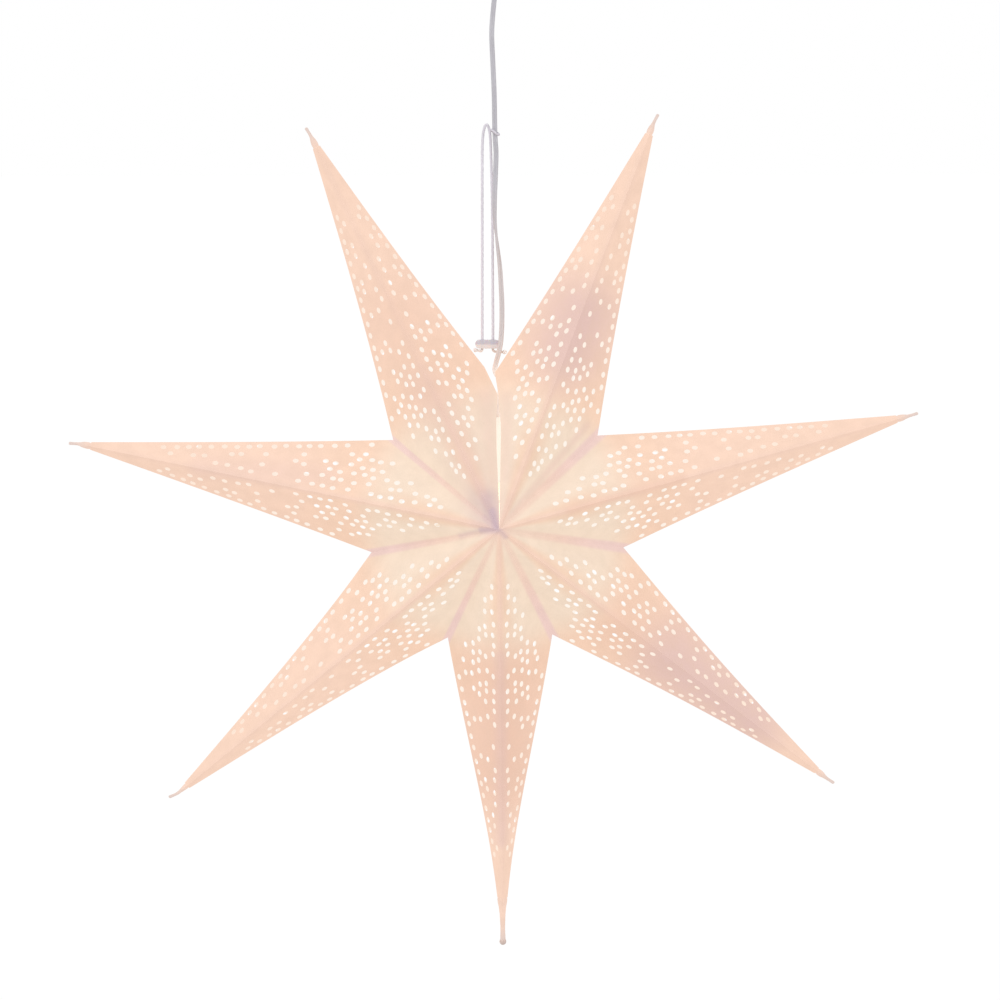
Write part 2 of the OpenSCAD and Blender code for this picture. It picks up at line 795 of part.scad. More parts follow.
// The cord's upper end, held in the grip
stub_top = grip_top + neck_len + 1;
stub_gap = 0.6;
module cord_end() {
    color([0.93, 0.93, 0.94])
    translate([0, 0, grip_top - grip_len + stub_gap])
    cylinder(h = stub_top - grip_top + grip_len - stub_gap, r = cord_d / 2);
}

// The two cores spread from the cord's end into the terminal block
core_route = [
    [1.05, 0, stub_top + 0.05], [1.05, 0, stub_top + 2], [2.6, 0, stub_top + 5.5],
    [5, 0, stub_top + 9], [6, 0, block_z - 1.5], [6, 0, block_z + 2], [6, 0, block_z + 10]
];
module cup_cores() {
    color([0.85, 0.85, 0.88])
    for (s = [-1, 1])
        tube([for (p = core_route) [s * p[0], p[1], p[2]]], 2 * core_r);
}

point(0);  // point_1
point(1);  // point_2
point(2);  // point_3
point(3);  // point_4
point(4);  // point_5
point(5);  // point_6
point(6);  // point_7
valley_flap(0);  // valley_flap_1
valley_flap(1);  // valley_flap_2
valley_flap(2);  // valley_flap_3
valley_flap(4);  // valley_flap_5
valley_flap(5);  // valley_flap_6
valley_flap(6);  // valley_flap_7
tail_bead();
string_loop();
string_hitch();
string_foot_left();
string_foot_right();
knot(knot_left_at);  // knot_left
knot(knot_right_at);  // knot_right
slider_bar();
cord();
holder_cap();
cord_clamp();
clamp_screws();
holder_cores();
holder_insert();
terminal_screws();
centre_contact();
screw_sleeve();
holder_body();
lamp_foot();
lamp_insulator();
lamp_cap();
lamp_stem();
filament_plate();
lamp_filaments();
lamp_glass();
ceiling_bracket();
ceiling_cup();
cup_screws();
cord_grip();
grip_nut();
grip_screw();
cord_end();
terminal_block();
block_screws();
cup_cores();
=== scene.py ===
# %% [markdown]
# A paper star lantern
#
# This lesson dresses a pierced paper star that hangs from the ceiling on a flat cord. The real one
# is folded from thin white card, glued at its valleys and lit by one lamp inside. The hard parts
# come ready made in the frame, and the card, the cord and the string are built here as meshes.

# %% Load the frame and keep its parts
import json
import bpy
from math import acos, atan2, cos, degrees, floor, hypot, pi, radians, sin, tau
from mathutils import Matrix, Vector, noise
from mathutils.geometry import delaunay_2d_cdt


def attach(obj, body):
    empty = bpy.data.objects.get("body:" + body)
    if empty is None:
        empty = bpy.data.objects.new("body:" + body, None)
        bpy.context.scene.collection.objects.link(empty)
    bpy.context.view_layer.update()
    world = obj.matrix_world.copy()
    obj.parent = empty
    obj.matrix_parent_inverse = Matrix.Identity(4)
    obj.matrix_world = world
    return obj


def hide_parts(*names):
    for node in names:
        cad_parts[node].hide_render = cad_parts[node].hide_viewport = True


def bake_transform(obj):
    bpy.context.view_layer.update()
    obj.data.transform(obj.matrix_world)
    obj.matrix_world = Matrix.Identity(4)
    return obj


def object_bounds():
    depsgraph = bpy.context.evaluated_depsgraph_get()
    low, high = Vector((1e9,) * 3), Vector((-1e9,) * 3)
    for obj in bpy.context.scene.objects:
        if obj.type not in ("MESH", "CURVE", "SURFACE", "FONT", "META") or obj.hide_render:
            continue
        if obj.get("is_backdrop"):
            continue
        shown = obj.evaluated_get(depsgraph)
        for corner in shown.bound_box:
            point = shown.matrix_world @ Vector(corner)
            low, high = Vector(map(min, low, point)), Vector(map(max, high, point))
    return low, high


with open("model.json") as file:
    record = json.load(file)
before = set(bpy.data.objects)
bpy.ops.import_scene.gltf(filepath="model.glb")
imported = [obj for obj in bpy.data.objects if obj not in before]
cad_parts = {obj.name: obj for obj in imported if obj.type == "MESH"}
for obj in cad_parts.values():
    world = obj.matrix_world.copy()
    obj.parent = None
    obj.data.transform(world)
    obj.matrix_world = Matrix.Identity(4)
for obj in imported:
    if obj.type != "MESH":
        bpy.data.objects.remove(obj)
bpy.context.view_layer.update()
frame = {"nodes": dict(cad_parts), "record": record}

MM = 0.001
CENTRE = Vector((0, 0, -0.515))

# %% [markdown]
# The camera
#
# The photograph was taken from a few metres away, a little above the star and a little to its left.
# A long lens at that distance keeps the seven points nearly parallel. The view is shifted by a few
# pixels, because the star doesn't hang in the very middle of the frame.

# %% Camera
AZIMUTH, ELEVATION, DISTANCE = -1.3, 6.6, 4.5
FRAME_WIDTH = 0.8072
SENSOR = 36.0


def direction(azimuth, elevation):
    """Unit vector from the object towards a viewer."""
    a, e = radians(azimuth), radians(elevation)
    return Vector((sin(a) * cos(e), -cos(a) * cos(e), sin(e)))


def faced_to_star(data, azimuth, elevation, distance):
    """The object of a camera or lamp, at a distance from the star and turned to it."""
    away = direction(azimuth, elevation)
    item = bpy.data.objects.new(data.name, data)
    item.location = CENTRE + away * distance
    item.rotation_mode = "QUATERNION"
    item.rotation_quaternion = (-away).to_track_quat("-Z", "Y")
    bpy.context.collection.objects.link(item)
    return item


lens = bpy.data.cameras.new("camera")
lens.sensor_width = SENSOR
lens.lens = SENSOR * DISTANCE / FRAME_WIDTH
lens.shift_x, lens.shift_y = 0.003, 0.018
bpy.context.scene.camera = faced_to_star(lens, AZIMUTH, ELEVATION, DISTANCE)
print("lens", round(lens.lens, 1))

# %% [markdown]
# Smooth routes
#
# A cord bends smoothly, so its few given points are joined by a curve that passes through
# each of them. The curve is cut into short steps, and each step gets one ring of the tube.

# %% A smooth route through given points


def smooth(points, step):
    """Points about step apart on a curve through the given ones, in metres."""
    p = [Vector(q) for q in points]
    p = [2 * p[0] - p[1]] + p + [2 * p[-1] - p[-2]]
    out = []
    for i in range(1, len(p) - 2):
        a, b, c, d = p[i - 1 : i + 3]
        count = max(1, round((c - b).length / step))
        for j in range(count):
            t = j / count
            out.append(0.5 * (2 * b + (c - a) * t + (2 * a - 5 * b + 4 * c - d) * t**2
                              + (3 * b - a - 3 * c + d) * t**3))
    return out + [p[-2]]


def about_star(points):
    """Millimetres about the star's centre, turned into metres in the frame."""
    return [CENTRE + Vector(q) * MM for q in points]


def length_of(path):
    return sum((b - a).length for a, b in zip(path, path[1:]))


# %% Sweep an outline along a route


def mesh_piece(name, verts, faces, smooth_faces=True):
    mesh = bpy.data.meshes.new(name)
    mesh.from_pydata([tuple(v) for v in verts], [], faces)
    mesh.validate()
    piece = bpy.data.objects.new(name, mesh)
    bpy.context.collection.objects.link(piece)
    if smooth_faces:
        mesh.polygons.foreach_set("use_smooth", [True] * len(mesh.polygons))
    return piece


def tube_faces(rings, sides, closed=False, caps=True):
    """Faces between rings of vertices; a closed tube joins its last ring to its first."""
    faces = []
    for i in range(rings if closed else rings - 1):
        for j in range(sides):
            here, there, after = i * sides, (i + 1) % rings * sides, (j + 1) % sides
            faces.append((here + j, here + after, there + after, there + j))
    if caps and not closed:
        faces += [tuple(range(sides))[::-1], tuple(range((rings - 1) * sides, rings * sides))]
    return faces


def sweep(name, path, outline):
    """Mesh tube: outline(x, height) gives the ring at length x along the path, in millimetres."""
    verts, done = [], 0.0
    for i, p in enumerate(path):
        if i:
            done += (p - path[i - 1]).length
        ahead = (path[min(i + 1, len(path) - 1)] - path[max(i - 1, 0)]).normalized()
        across = Vector((0, 1, 0)).cross(ahead).normalized()
        deep = ahead.cross(across)
        for x, y in outline(done / MM, (p.z - CENTRE.z) / MM):
            verts.append(p + across * x * MM + deep * y * MM)
    return mesh_piece(name, verts, tube_faces(len(path), len(verts) // len(path)))


# %% [markdown]
# The flat cord
#
# Two vinyl-covered cores lie side by side, which makes a cord 4 mm wide and about half as thick,
# with a groove down each face. It hangs with its flat side to the front and makes half a turn on
# its way down, which is why it looks thinner at one place. Its route repeats the frame's own.

# %% The cord
GRIP_MOUTH = 438
CORD_ROUTE = [
    (0, 0, 64), (0, 0, 74), (0, 0, 84), (0.8, 0.6, 92), (2.2, 2, 100), (2.9, 3.2, 107),
    (1.4, 3.9, 113), (-1.6, 3.6, 119), (-0.6, 2, 126), (1.4, -0.9, 134), (3, -1.7, 143),
    (3.8, -1.9, 156), (3.9, -1.9, 172), (3.2, -1.8, 188), (2.2, -1.8, 204), (0.6, -1.7, 218),
    (-0.8, -1.7, 230), (-1.8, -1.7, 242), (-1.9, -1.7, 258), (-1.3, -1.7, 276),
    (-0.8, -1.7, 294), (-1.5, -1.7, 306), (-1.9, -1.6, 318), (-2.3, -1.2, 342),
    (-3.4, -0.7, 368), (-4.2, -0.3, 388), (-3.6, -0.1, 402), (-1.8, 0, GRIP_MOUTH - 18),
    (-0.5, 0, GRIP_MOUTH - 7), (0, 0, GRIP_MOUTH),
]
CORE_R, CORE_X, CORE_STEPS = 1.1, 0.9, 8
TWIST_LOW, TWIST_HIGH = 165, 292


def ease(x, low, high):
    """0 below low, 1 above high, smooth between them."""
    t = min(max((x - low) / (high - low), 0), 1)
    return t * t * (3 - 2 * t)


def twin_core(_, height):
    """Outline of the two cores, turned by the cord's twist at that height."""
    reach = degrees(acos(-CORE_X / CORE_R))
    ring = []
    for side in (1, -1):
        for j in range(CORE_STEPS + 1):
            a = radians(-reach + 2 * reach * j / CORE_STEPS)
            if side > 0 or 0 < j < CORE_STEPS:
                ring.append((side * (CORE_X + CORE_R * cos(a)), side * CORE_R * sin(a)))
    turn = pi * ease(height, TWIST_LOW, TWIST_HIGH)
    c, s = cos(turn), sin(turn)
    return [(x * c - y * s, x * s + y * c) for x, y in ring]


cord_path = smooth(about_star(CORD_ROUTE), 1.5 * MM)
cord = sweep("flat_cord", cord_path, twin_core)
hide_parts("cord")
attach(cord, "hanging")
print("cord", round(length_of(cord_path), 4), "m")

# %% [markdown]
# The string
#
# A loop of cotton string takes the star's weight. It is laid from three strands, so its outline is
# three soft lobes that turn as they go along it. The feet are short pieces of the same string.

# %% The string loop and its feet
STRING_R = 1.15
FOOT_R = STRING_R - 0.1
STRANDS, STRAND_TURN, STRING_SIDES = 3, 16.0, 12
STRAND_LEFT, STRAND_RIGHT, FOOT_Z = -11.8, -3.2, 137
STRING_ROUTE = (
    [(STRAND_LEFT, 3, FOOT_Z + 22 * i) for i in range(8)]
    + [(-11.6, 3, 302), (-11, 3, 310), (-9.7, 3, 315.4), (-8.3, 3, 317), (-6.9, 3, 315.2),
       (-5.6, 3, 309.6), (-5, 3, 300), (-4.5, 3, 284), (-4, 3, 266)]
    + [(STRAND_RIGHT - 0.12 * max(i - 1, 0), 3, FOOT_Z + 22 * i) for i in range(5, -1, -1)]
)


def laid(radius):
    """Outline of a laid string: soft lobes that turn once in each STRAND_TURN millimetres."""
    def ring(along, _):
        out = []
        for j in range(STRING_SIDES):
            a = tau * j / STRING_SIDES
            lobe = cos(STRANDS * (a - tau * along / STRAND_TURN))
            r = radius * (0.94 + 0.06 * lobe)
            out.append((r * cos(a), r * sin(a)))
        return out
    return ring


string_path = smooth(about_star(STRING_ROUTE), 0.9 * MM)
string = sweep("string_shank", string_path, laid(STRING_R))
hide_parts("string_loop")
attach(string, "hanging")

# %% The points of the star, as the frame has them
POINTS = 7
TIP_R, NOTCH_R, APEX = 350.0, 105.0, 80.0
ROLL = 1.6
TIP_LEAN = [-0.8, -1.6, -0.6, 2.6, -1.5, 1.0, 0.7]
NOTCH_LEAN = [-0.9, -1.0, -1.7, 0, 0, -0.1, 1.9]
SEAM_RIGHT, SEAM_LEFT = 3, 4
LEFT_CORNER, LEFT_LOW = (-9.45, 122.535), (0.21, 101.01)
RIGHT_CORNER, RIGHT_LOW = (-1.575, 118.65), (3.255, 106.05)
REAR_CUT = 133.14
KNOT_R = 1.7


def polar(r, a):
    return Vector((r * cos(radians(a)), 0, r * sin(radians(a))))


def tip_azimuth(k):
    return -90 + ROLL + 360 / POINTS * k + TIP_LEAN[k % POINTS]


def notch_azimuth(k):
    return (tip_azimuth(k) + tip_azimuth(k + 1)) / 2 + NOTCH_LEAN[k % POINTS]


def is_seam(k, side):
    return (k, side) in ((SEAM_RIGHT, 1), (SEAM_LEFT, -1))


def tip(k):
    return polar(TIP_R, tip_azimuth(k))


def notch(k, side):
    """The inner corner on that side of point k; side 1 is counterclockwise, seen from the front."""
    if is_seam(k, side):
        x, z = RIGHT_CORNER if side > 0 else LEFT_CORNER
        return Vector((x, 0, z))
    return polar(NOTCH_R, notch_azimuth(k if side > 0 else k - 1))


def at_height(n, t, z):
    return n + (t - n) * (z - n.z) / (t.z - n.z)


def knot_place(k, side, z):
    n = notch(k, side)
    d = (tip(k) - n).normalized()
    return at_height(n, tip(k), z) + side * Vector((-d.z, 0, d.x)) * (KNOT_R + 0.1)


KNOT_LEFT = knot_place(SEAM_LEFT, -1, 135)
KNOT_RIGHT = knot_place(SEAM_RIGHT, 1, 133.4)
print("knots at", [round(v, 1) for v in KNOT_LEFT], [round(v, 1) for v in KNOT_RIGHT])

# %% Feet of the string
feet = []
for name, route, top_body in (
    ("string_foot_left", [
        (STRAND_LEFT, 3, FOOT_Z), (STRAND_LEFT, 3, 136.4), (-12.2, 2.9, 135.4), (-13.2, 2.4, 135),
        KNOT_LEFT + Vector((1.6, 1.2, -0.3))], "left_top"),
    ("string_foot_right", [
        (STRAND_RIGHT, 3, FOOT_Z), (STRAND_RIGHT, 3, 136.4), (-3, 3.5, 135.4), (-1.6, 4.2, 134.4),
        (2, 3.8, 134.2), KNOT_RIGHT + Vector((-1.1, 1.7, -0.1))], "right_top"),
):
    path = smooth(about_star(route), 0.6 * MM)
    foot = sweep(name + "_laid", path, laid(FOOT_R))
    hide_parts(name)
    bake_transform(foot)
    feet.append(foot)
print("string", round(length_of(string_path), 4), "m")

# %% [markdown]
# Hitch and knots
#
# One turn of string ties the loop to the cord, and a small knot holds each foot at the card's edge.
# A knot is drawn as it is tied: one strand that goes three times through itself, pulled tight.

# %% Hitch and knots
KNOT_STEPS, KNOT_SIZE, KNOT_STRAND_R = 72, 1.25, 0.62
CLOSED_SIDES = 10


def closed_tube(name, path, radius):
    """Tube round a closed route, with a frame that turns as little as it can."""
    count, verts, frames = len(path), [], []
    across = (path[1] - path[-1]).normalized().orthogonal().normalized()
    for i in range(count):
        new = (path[(i + 1) % count] - path[i - 1]).normalized()
        across = (across - new * across.dot(new)).normalized()
        frames.append((across.copy(), new.cross(across)))
    first, last = frames[0][0], frames[-1]
    slip = atan2(first.dot(last[1]), first.dot(last[0]))
    for i, p in enumerate(path):
        for j in range(CLOSED_SIDES):
            a = tau * j / CLOSED_SIDES + slip * i / count
            ring = frames[i][0] * cos(a) + frames[i][1] * sin(a)
            verts.append(p + ring * radius)
    return mesh_piece(name, verts, tube_faces(count, CLOSED_SIDES, closed=True))


def tied_knot(name, place):
    """A small three-fold knot of string about a place, in millimetres about the star's centre."""
    path = []
    for i in range(KNOT_STEPS):
        a = tau * i / KNOT_STEPS
        ring = 2 + cos(3 * a)
        path.append(CENTRE + MM * (place + KNOT_SIZE * Vector((
            ring * cos(2 * a) / 3, 0.55 * sin(3 * a), ring * sin(2 * a) / 3))))
    return closed_tube(name, path, KNOT_STRAND_R * MM)


knots = []
for name, place, body in (("knot_left", KNOT_LEFT, "left_top"), ("knot_right", KNOT_RIGHT, "right_top")):
    knot = tied_knot(name + "_tied", place)
    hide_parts(name)
    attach(knot, body)
    knots.append(knot)

HITCH_AT, HITCH_TILT = Vector((-1.7, -1.65, 311)), radians(30)
HITCH_R, HITCH_DEEP, HITCH_STEPS, HITCH_STRAND_R = 3.6, 2.75, 96, 0.95
hitch_path = []
for i in range(HITCH_STEPS):
    a = tau * i / HITCH_STEPS
    flat_ring = Vector((HITCH_R * cos(a), HITCH_DEEP * sin(a), 0))
    c, s = cos(HITCH_TILT), sin(HITCH_TILT)
    hitch_path.append(CENTRE + MM * (HITCH_AT + Vector((
        flat_ring.x * c, flat_ring.y, -flat_ring.x * s + 0.5 * sin(2 * a)))))
hitch = closed_tube("string_hitch_tied", hitch_path, HITCH_STRAND_R * MM)
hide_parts("string_hitch")
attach(hitch, "hanging")
print("hitch and knots made")

# %% [markdown]
# The card
#
# Each point of the star is folded from one sheet: a ridge runs down its front and its back, and its
# two outer edges are folds as well. So half a point, from the front ridge round the outer edge to
# the rear ridge, is one mesh. Its dots are real holes. The sheet is triangulated flat with the dots
# as fixed loops, then folded into place, and card is never quite flat, so it gets a soft swell.

# %% The dots, by the frame's own formula
HOLE_R, HOLE_STEP, ROW_STEP, EDGE_ROWS = 2.4, 9.8, 9.4, 9.0
HOLE_SIDES = 14
RIDGE_ROW, ROW_EDGE, VALLEY_BARE, CENTRE_BARE, END_BARE = 10.4, 5.4, 17.5, 42.0, 76.0


def frac(x):
    return x - floor(x)


def spread(i, j, k):
    """An even-handed number from 0 to 1 for a dot, the same on each run."""
    return frac(sin(radians(127.1 * i + 311.7 * j + 74.7 * k)) * 43758.5453)


def kept(i, j, share):
    """True for the dots that are kept of a row, at a share from 0 to 1."""
    return 0.6 * frac(0.618 * i + 0.29 * j) + 0.4 * spread(i, j, 3) < share


def keep_share(j, x):
    return 0.76 if x > 0.72 else 0.5 if j == 0 else 0.46


def side_of(p, a, b):
    d = (b - a).normalized()
    return d.x * (p.y - a.y) - d.y * (p.x - a.x)


def dots(t, n, shift):
    """Centres of the dots of a panel, in its own plane; t is its tip and n its notch."""
    e = (n - t).normalized()
    m = Vector((-e.y, e.x))
    long_edge = (n - t).length
    apex = Vector((0, 0))
    out = []
    for j in range(2):
        for i in range(int(long_edge // HOLE_STEP) + 1):
            s = END_BARE + HOLE_STEP * (i + 0.5 * j + shift) + 2.8 * (spread(i, 7 + j, 1) - 0.5)
            d = ROW_EDGE + EDGE_ROWS * j + (1.2 + 1.6 * j) * (spread(i, 7 + j, 2) - 0.5)
            p = t + s * e + d * m
            if (s < (0.985 + 0.04 * j) * long_edge and p.y > 7
                    and side_of(p, n, apex) > VALLEY_BARE - 2 and kept(i, 7 + j, 0.86 - 0.26 * j)):
                out.append(p)
    for j in range(int(n.length // ROW_STEP) + 1):
        for i in range(int(t.length // HOLE_STEP) + 1):
            x = CENTRE_BARE + HOLE_STEP * (i + 0.5 * (j % 2) + shift)
            p = Vector((x + 4.2 * (spread(i, j, 1) - 0.5),
                        RIDGE_ROW + ROW_STEP * j + 3.6 * (spread(i, j, 2) - 0.5)))
            s = (p - t).dot(e)
            if ((p - t).dot(m) > ROW_EDGE + EDGE_ROWS + 5.8 and side_of(p, n, apex) > VALLEY_BARE
                    and p.length > CENTRE_BARE and s > END_BARE
                    and kept(i, j, keep_share(j, s / long_edge))):
                out.append(p)
    return out


# %% One flat panel, cut out and folded into place
TAIL, LOW_TAIL = 18.0, 40.0
CARD_T = 0.5
END_WIDTH = NOTCH_R * sin(pi / POINTS) / (TIP_R - NOTCH_R * cos(pi / POINTS))
END_DEPTH = APEX / TIP_R
GRID, RIM_CLEAR, HOLE_CLEAR = 6.5, 2.4, 1.5
EDGE_STEP = 6.0
PLEATS, PLEAT_HIGH, SWELL_FROM = 11, 0.9, 12
BULGE = [(-0.9, 122.6), (-1.9, 118.2), (-1.2, 113), (-0.2, 107.6), (0.8, 102), (0.9, 95), (1.5, 88),
         (2.4, 80), (2.3, 70)]
SAG = [(0.2, 101), (-0.3, 92), (-1.1, 82), (-1.2, 60), (-0.6, 40), (0.1, 20)]


def tail_of(k):
    return LOW_TAIL if k == 0 else TAIL


def walk(a, b):
    """Points from a towards b, EDGE_STEP apart, without b."""
    whole, step = (b - a).length, (b - a).normalized() * EDGE_STEP
    count = max(1, int(whole / EDGE_STEP - 0.3))
    return [a + step * i for i in range(count) if EDGE_STEP * i < whole - 1]


DRAWN_IN = [5.0, 2.8, 1.2, 1.4, 2.1, 0.8, 3.3]
DRAWN_MOST = [1.7, 0.95, 0.8, 0.8, 0.8, 0.8, 0.7]
DRAWN_FROM, DRAWN_TO = 99, 352


def draw_share(k, r):
    """Share of its width that point k keeps at r millimetres from the centre."""
    x = (r - DRAWN_FROM) / (DRAWN_TO - DRAWN_FROM)
    if not 0 < x < 1:
        return 1.0
    half_width = (TIP_R - r) * END_WIDTH + 3
    return 1 - min(0.45, DRAWN_IN[k] * sin(pi * x ** DRAWN_MOST[k]) / half_width)


def draw_in(place, k):
    """Move a place of point k towards the point's own axis, as the soft edges of the card do."""
    ahead = polar(1, tip_azimuth(k))
    across = Vector((0, -1, 0)).cross(ahead)
    w = place.dot(across)
    return place - across * w * (1 - draw_share(k, place.dot(ahead)))


def swell(place, face):
    """How far the card stands out of its plane there: a slow swell, and pleats at the centre."""
    q = Vector((place.x, face * 200, place.z))
    slow = 1.1 * noise.noise(q / 46) + 0.4 * noise.noise(q / 17 + Vector((7, 3, 1)))
    r, a = hypot(place.x, place.z), atan2(place.z, place.x)
    return slow + PLEAT_HIGH * (1 - ease(r, 12, 44)) * sin(PLEATS * a + face)


def panel(k, side, face):
    """Plane, notch, rim and dots of one panel of point k; face -1 is the front."""
    c, t, n = Vector((0, face * APEX, 0)), tip(k), notch(k, side)
    u = (t - c).normalized()
    w = u.cross(n - c).normalized()
    v = w.cross(u)
    outward = w if w.y * face > 0 else -w

    def flat(p):
        return Vector(((p - c).dot(u), (p - c).dot(v)))

    def lift(x, z):
        return flat(Vector((x, c.y - (w.x * (x - c.x) + w.z * (z - c.z)) / w.y, z)))

    seam = is_seam(k, side)
    corner = at_height(n, t, REAR_CUT) if seam and side > 0 and face > 0 else n
    t2, n2, apex = flat(t), flat(n), Vector((0, 0))
    ridge_end = t2 * (1 - tail_of(k) / TIP_R)
    edge_end = flat(corner + (t - corner) * (1 - tail_of(k) / (t - corner).length))
    rim = walk(apex, ridge_end) + [ridge_end] + walk(edge_end, flat(corner)) + [flat(corner)]
    if seam:
        front, rear = (BULGE, [RIGHT_LOW]) if side > 0 else (SAG, [LEFT_LOW])
        low = [lift(*p) for p in (front if face < 0 else rear)]
        rim += low[:-1] + walk(low[-1], apex)
    else:
        rim += walk(flat(n), apex)[1:]
    turns = [i * tau / HOLE_SIDES for i in range(HOLE_SIDES)]
    loops = [[p + HOLE_R * Vector((cos(a), sin(a))) for a in turns]
             for p in dots(t2, n2, 0.5 if face > 0 else 0)]
    return c, u, v, outward, n2, rim, loops


def inside(p, rim):
    """True if p lies inside the closed line rim."""
    hit = False
    for a, b in zip(rim, rim[1:] + rim[:1]):
        if (a.y > p.y) != (b.y > p.y) and p.x < (b.x - a.x) * (p.y - a.y) / (b.y - a.y) + a.x:
            hit = not hit
    return hit


def to_rim(p, rim):
    """Distance from p to the closed line rim."""
    best = 1e9
    for a, b in zip(rim, rim[1:] + rim[:1]):
        d = b - a
        s = min(max((p - a).dot(d) / max(d.length_squared, 1e-9), 0), 1)
        best = min(best, (p - a - d * s).length)
    return best


def cut_out(rim, loops):
    """Triangles of a flat sheet with round holes, and how far each vertex is from the rim."""
    centres = [sum(loop, Vector((0, 0))) / len(loop) for loop in loops]
    points, edges = list(rim), [(i, (i + 1) % len(rim)) for i in range(len(rim))]
    for loop in loops:
        first = len(points)
        points += loop
        edges += [(first + i, first + (i + 1) % len(loop)) for i in range(len(loop))]
    high_x, high_y = max(p.x for p in rim), max(p.y for p in rim)
    for j in range(int(high_y / (GRID * 0.866)) + 1):
        for i in range(int(high_x / GRID) + 2):
            p = Vector(((i + 0.5 * (j % 2)) * GRID, (j + 0.4) * GRID * 0.866))
            if inside(p, rim) and to_rim(p, rim) > RIM_CLEAR and all(
                    (p - q).length > HOLE_R + HOLE_CLEAR for q in centres):
                points.append(p)
    out, _, faces, *_ = delaunay_2d_cdt(points, edges, [], 0, 1e-5)
    sheet = []
    for f in faces:
        mid = sum((out[i] for i in f), Vector((0, 0))) / 3
        if inside(mid, rim) and all((mid - q).length > HOLE_R * 0.96 for q in centres):
            sheet.append(tuple(f))
    return out, sheet, [to_rim(p, rim) for p in out]


print("dots on a panel", len(panel(0, 1, -1)[-1]))

# %% Half a point: two panels joined at the outer edge
FAR = 99.0
BAND_WIDE = [1.15, 1.2, 1.3, 1, 0.8, 1.0, 0.9]
BODIES = ["hanging", "right_low", "right_mid", "right_top", "left_top", "left_mid", "left_low"]


def inner_offset(outward, planes):
    """Step from the card's outer face to its inner one that stays in the given mirror planes."""
    if not planes:
        return outward * CARD_T
    if len(planes) == 1:
        along = (outward - planes[0] * planes[0].dot(outward)).normalized()
    else:
        along = planes[0].cross(planes[1]).normalized()
    if along.dot(outward) < 0:
        along = -along
    return along * CARD_T / max(along.dot(outward), 0.25)


def half_point(k, side):
    """Mesh of one half of point k, from the front ridge round the outer edge to the rear ridge."""
    deep = Vector((0, 1, 0))
    ridge_plane = polar(1, tip_azimuth(k)).cross(deep)
    valley_plane = polar(1, notch_azimuth(k if side > 0 else k - 1)).cross(deep)
    outer, inner, faces, ridge, valley, seen = [], [], [], [], [], {}
    for face in (-1, 1):
        c, u, v, outward, n2, rim, loops = panel(k, side, face)
        flat, triangles, depth = cut_out(rim, loops)
        index = []
        for p, d in zip(flat, depth):
            to_valley = FAR if is_seam(k, side) else abs(side_of(p, n2, Vector((0, 0))))
            place = c + u * p.x + v * p.y
            planes = [q for q, on in ((ridge_plane, p.y < 1e-3), (valley_plane, to_valley < 1e-3),
                                      (deep, abs(place.y) < 1e-3)) if on]
            place += outward * swell(place, face) * ease(d, 0, SWELL_FROM)
            place = draw_in(place, k)
            key = tuple(round(q, 2) for q in place)
            if key not in seen:
                seen[key] = len(outer)
                outer.append(CENTRE + place * MM)
                inner.append(CENTRE + (place - inner_offset(outward, planes[:2])) * MM)
                ridge.append(max(p.y, 0))
                valley.append(to_valley / BAND_WIDE[k if side > 0 else (k - 1) % POINTS])
            index.append(seen[key])
        turn = u.cross(v).dot(outward) > 0
        for f in triangles:
            f = [index[i] for i in f]
            if len(set(f)) == 3:
                faces.append(tuple(f if turn else f[::-1]))
    count, sheet = len(outer), len(faces)
    steps = {(f[i], f[(i + 1) % 3]) for f in faces for i in range(3)}
    faces += [tuple(i + count for i in f[::-1]) for f in faces]
    faces += [(b, a, a + count, b + count) for a, b in sorted(steps) if (b, a) not in steps]
    name = f"half_{k + 1}_{'ccw' if side > 0 else 'cw'}"
    piece = mesh_piece(name, outer + inner, faces, False)
    piece.data.polygons.foreach_set("material_index", [0] * sheet + [1] * (len(faces) - sheet))
    for label, values in (("ridge", ridge), ("valley", valley)):
        layer = piece.data.attributes.new(label, "FLOAT", "POINT")
        layer.data.foreach_set("value", values + values)
    return piece


halves = {}
for k in range(POINTS):
    for side in (-1, 1):
        piece = half_point(k, side)
        halves[k, side] = piece
        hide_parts(f"point_{k + 1}")
        print(piece.name, len(piece.data.vertices), "vertices")

# %% [markdown]
# Moving card
#
# The real star folds at its valleys. Here the halves beside the moving valleys are only baked in
# place, and the halves beside the seam keep their shape.

# %% Bake the halves at the valleys in place, and hang the rest on their bodies
BENDING = (1, 2, 4, 5)


def bend(piece):
    """Bake a piece's place into its mesh."""
    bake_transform(piece)


for k in BENDING:
    bend(halves[k, 1])
    bend(halves[k + 1, -1])
bend(halves[1, -1])
bend(halves[6, 1])
for side in (-1, 1):
    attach(halves[0, side], "hanging")
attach(halves[SEAM_RIGHT, 1], "right_top")
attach(halves[SEAM_LEFT, -1], "left_top")
print("halves placed")

# %% [markdown]
# Glued flaps
#
# Where two points meet, each has a narrow flap turned inwards, and the flaps are glued together
# behind the valley. Less light comes through the doubled card; that band is painted with the card.

# %% Flaps behind the valleys
FLAP_IN, FLAP_OUT, FLAP_W, FLAP_BEHIND = 0.2, 0.95, 4.6, 1.15
FLAP_STEPS, FLAP_ROWS = 10, 3


